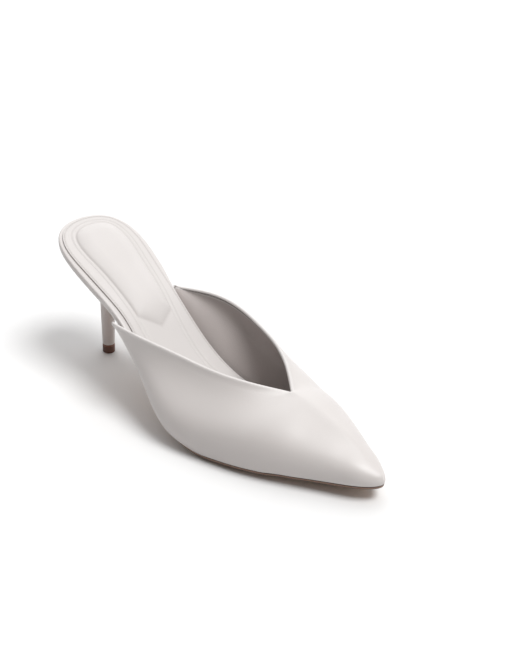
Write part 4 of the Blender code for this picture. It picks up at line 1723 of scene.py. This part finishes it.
def direction(azimuth: float, elevation: float) -> Vector:
    """Return the unit direction at an azimuth and an elevation in degrees."""
    a, e = radians(azimuth), radians(elevation)
    return Vector((cos(a) * cos(e), sin(a) * cos(e), sin(e)))


@dataclass
class Studio:
    """The pale floor, the soft light and the camera."""

    azimuth: float = 41.58
    elevation: float = 29.62
    roll: float = 2.57
    distance: float = 642.7
    lens: float = 60.62
    aim: tuple[float, float, float] = (120.0, 0.0, 30.0)
    aside: float = 26.73
    above: float = 22.43
    sensor: float = 36.0
    floor_half: float = 8.0
    floor_colour: Colour = (0.765, 0.76, 0.76)
    floor_roughness: float = 0.9
    floor_specular: float = 0.1
    clip_start: float = 0.01
    clip_end: float = 50.0
    fill_colour: Colour = (1.0, 0.97, 0.95)
    sun_colour: Colour = (0.99, 1.0, 0.998)
    sun_strength: float = 2.45
    sun_angle: float = 29.0
    sun_azimuth: float = 21.0
    sun_elevation: float = 66.0
    fill: float = 0.04
    glow_power: float = 3.0
    glows: tuple[Glow, ...] = (
        Glow(142.0, 40.0, 2.08, (0.985, 0.995, 1.0)),
        Glow(22.0, 40.0, 0.42, (0.96, 1.0, 1.0)),
        Glow(0.0, 12.0, 0.06, (1.0, 0.80, 0.74)),
        Glow(325.0, 42.0, 0.22, (1.0, 0.88, 0.84)),
    )

    def floor(self) -> None:
        """Lay the floor."""
        half = self.floor_half
        mesh = bpy.data.meshes.new("studio_floor")
        corners = [(-half, -half, 0.0), (half, -half, 0.0), (half, half, 0.0), (-half, half, 0.0)]
        mesh.from_pydata(corners, [], [(0, 1, 2, 3)])
        finish = bpy.data.materials.new("pale floor")
        finish.use_nodes = True
        shader = finish.node_tree.nodes["Principled BSDF"]
        shader.inputs["Base Color"].default_value = (*self.floor_colour, 1.0)
        shader.inputs["Roughness"].default_value = self.floor_roughness
        shader.inputs["Specular IOR Level"].default_value = self.floor_specular
        mesh.materials.append(finish)
        plane = place_object("studio_floor", mesh)

    def lights(self) -> None:
        """Set the soft main light from the right and the wide glows round it."""
        world = bpy.data.worlds.new("studio")
        world.use_nodes = True
        nodes = Nodes(world.node_tree)
        sky = world.node_tree.nodes["Background"]
        sky.inputs["Color"].default_value = (*self.fill_colour, 1.0)
        sky.inputs["Strength"].default_value = self.fill
        way = nodes.add("ShaderNodeTexCoord").outputs["Generated"]
        total = sky.outputs[0]
        for glow in self.glows:
            toward = tuple(direction(glow.azimuth, glow.elevation))
            facing = nodes.add("ShaderNodeVectorMath", {0: way, 1: toward}, operation="DOT_PRODUCT")
            lit = nodes.math("MAXIMUM", facing.outputs["Value"], 0.0)
            strength = nodes.math("MULTIPLY", nodes.math("POWER", lit, self.glow_power), glow.strength)
            light = nodes.add("ShaderNodeBackground", {"Color": (*glow.colour, 1.0), "Strength": strength})
            total = nodes.add("ShaderNodeAddShader", {0: total, 1: light.outputs[0]}).outputs[0]
        world.node_tree.links.new(total, world.node_tree.nodes["World Output"].inputs["Surface"])
        bpy.context.scene.world = world
        lamp = bpy.data.lights.new("main_light", "SUN")
        lamp.energy, lamp.color = self.sun_strength, self.sun_colour
        lamp.angle = radians(self.sun_angle)
        sun = place_object("main_light", lamp)
        sun.rotation_mode = "QUATERNION"
        sun.rotation_quaternion = direction(self.sun_azimuth, self.sun_elevation).to_track_quat("Z", "Y")

    def camera(self) -> None:
        """Place the camera at the photograph's viewing angle."""
        a, e, r = radians(self.azimuth), radians(self.elevation), radians(self.roll)
        back = np.array((sin(a) * cos(e), -cos(a) * cos(e), sin(e)))
        right = np.array((cos(a), sin(a), 0.0))
        up = np.cross(back, right)
        turned_right = right * cos(r) + up * sin(r)
        turned_up = up * cos(r) - right * sin(r)
        place = np.array(self.aim) + back * self.distance
        place += turned_right * self.aside + turned_up * self.above
        data = bpy.data.cameras.new("camera")
        data.lens = self.lens
        data.sensor_width = self.sensor
        data.clip_start, data.clip_end = self.clip_start, self.clip_end
        camera = place_object("camera", data)
        axes = Matrix((turned_right, turned_up, back)).transposed().to_4x4()
        camera.matrix_world = Matrix.Translation(Vector((place - CENTRE) * MM)) @ axes
        bpy.context.scene.camera = camera

    def build(self) -> None:
        """Set up the studio."""
        bpy.context.scene.view_settings.view_transform = "Standard"
        self.floor()
        self.lights()
        self.camera()


def main() -> None:
    """Set up the studio, then build the shoe's pieces in order."""
    logging.basicConfig(level=logging.INFO, format="%(name)s: %(message)s")
    Studio().build()
    finishes = Finishes()
    for assembly in (Outsole(), Heel(), Footbed(), Upper()):
        assembly.build(finishes)
        LOG.info("%s built", type(assembly).__name__)


if __name__ == "__main__":
    main()
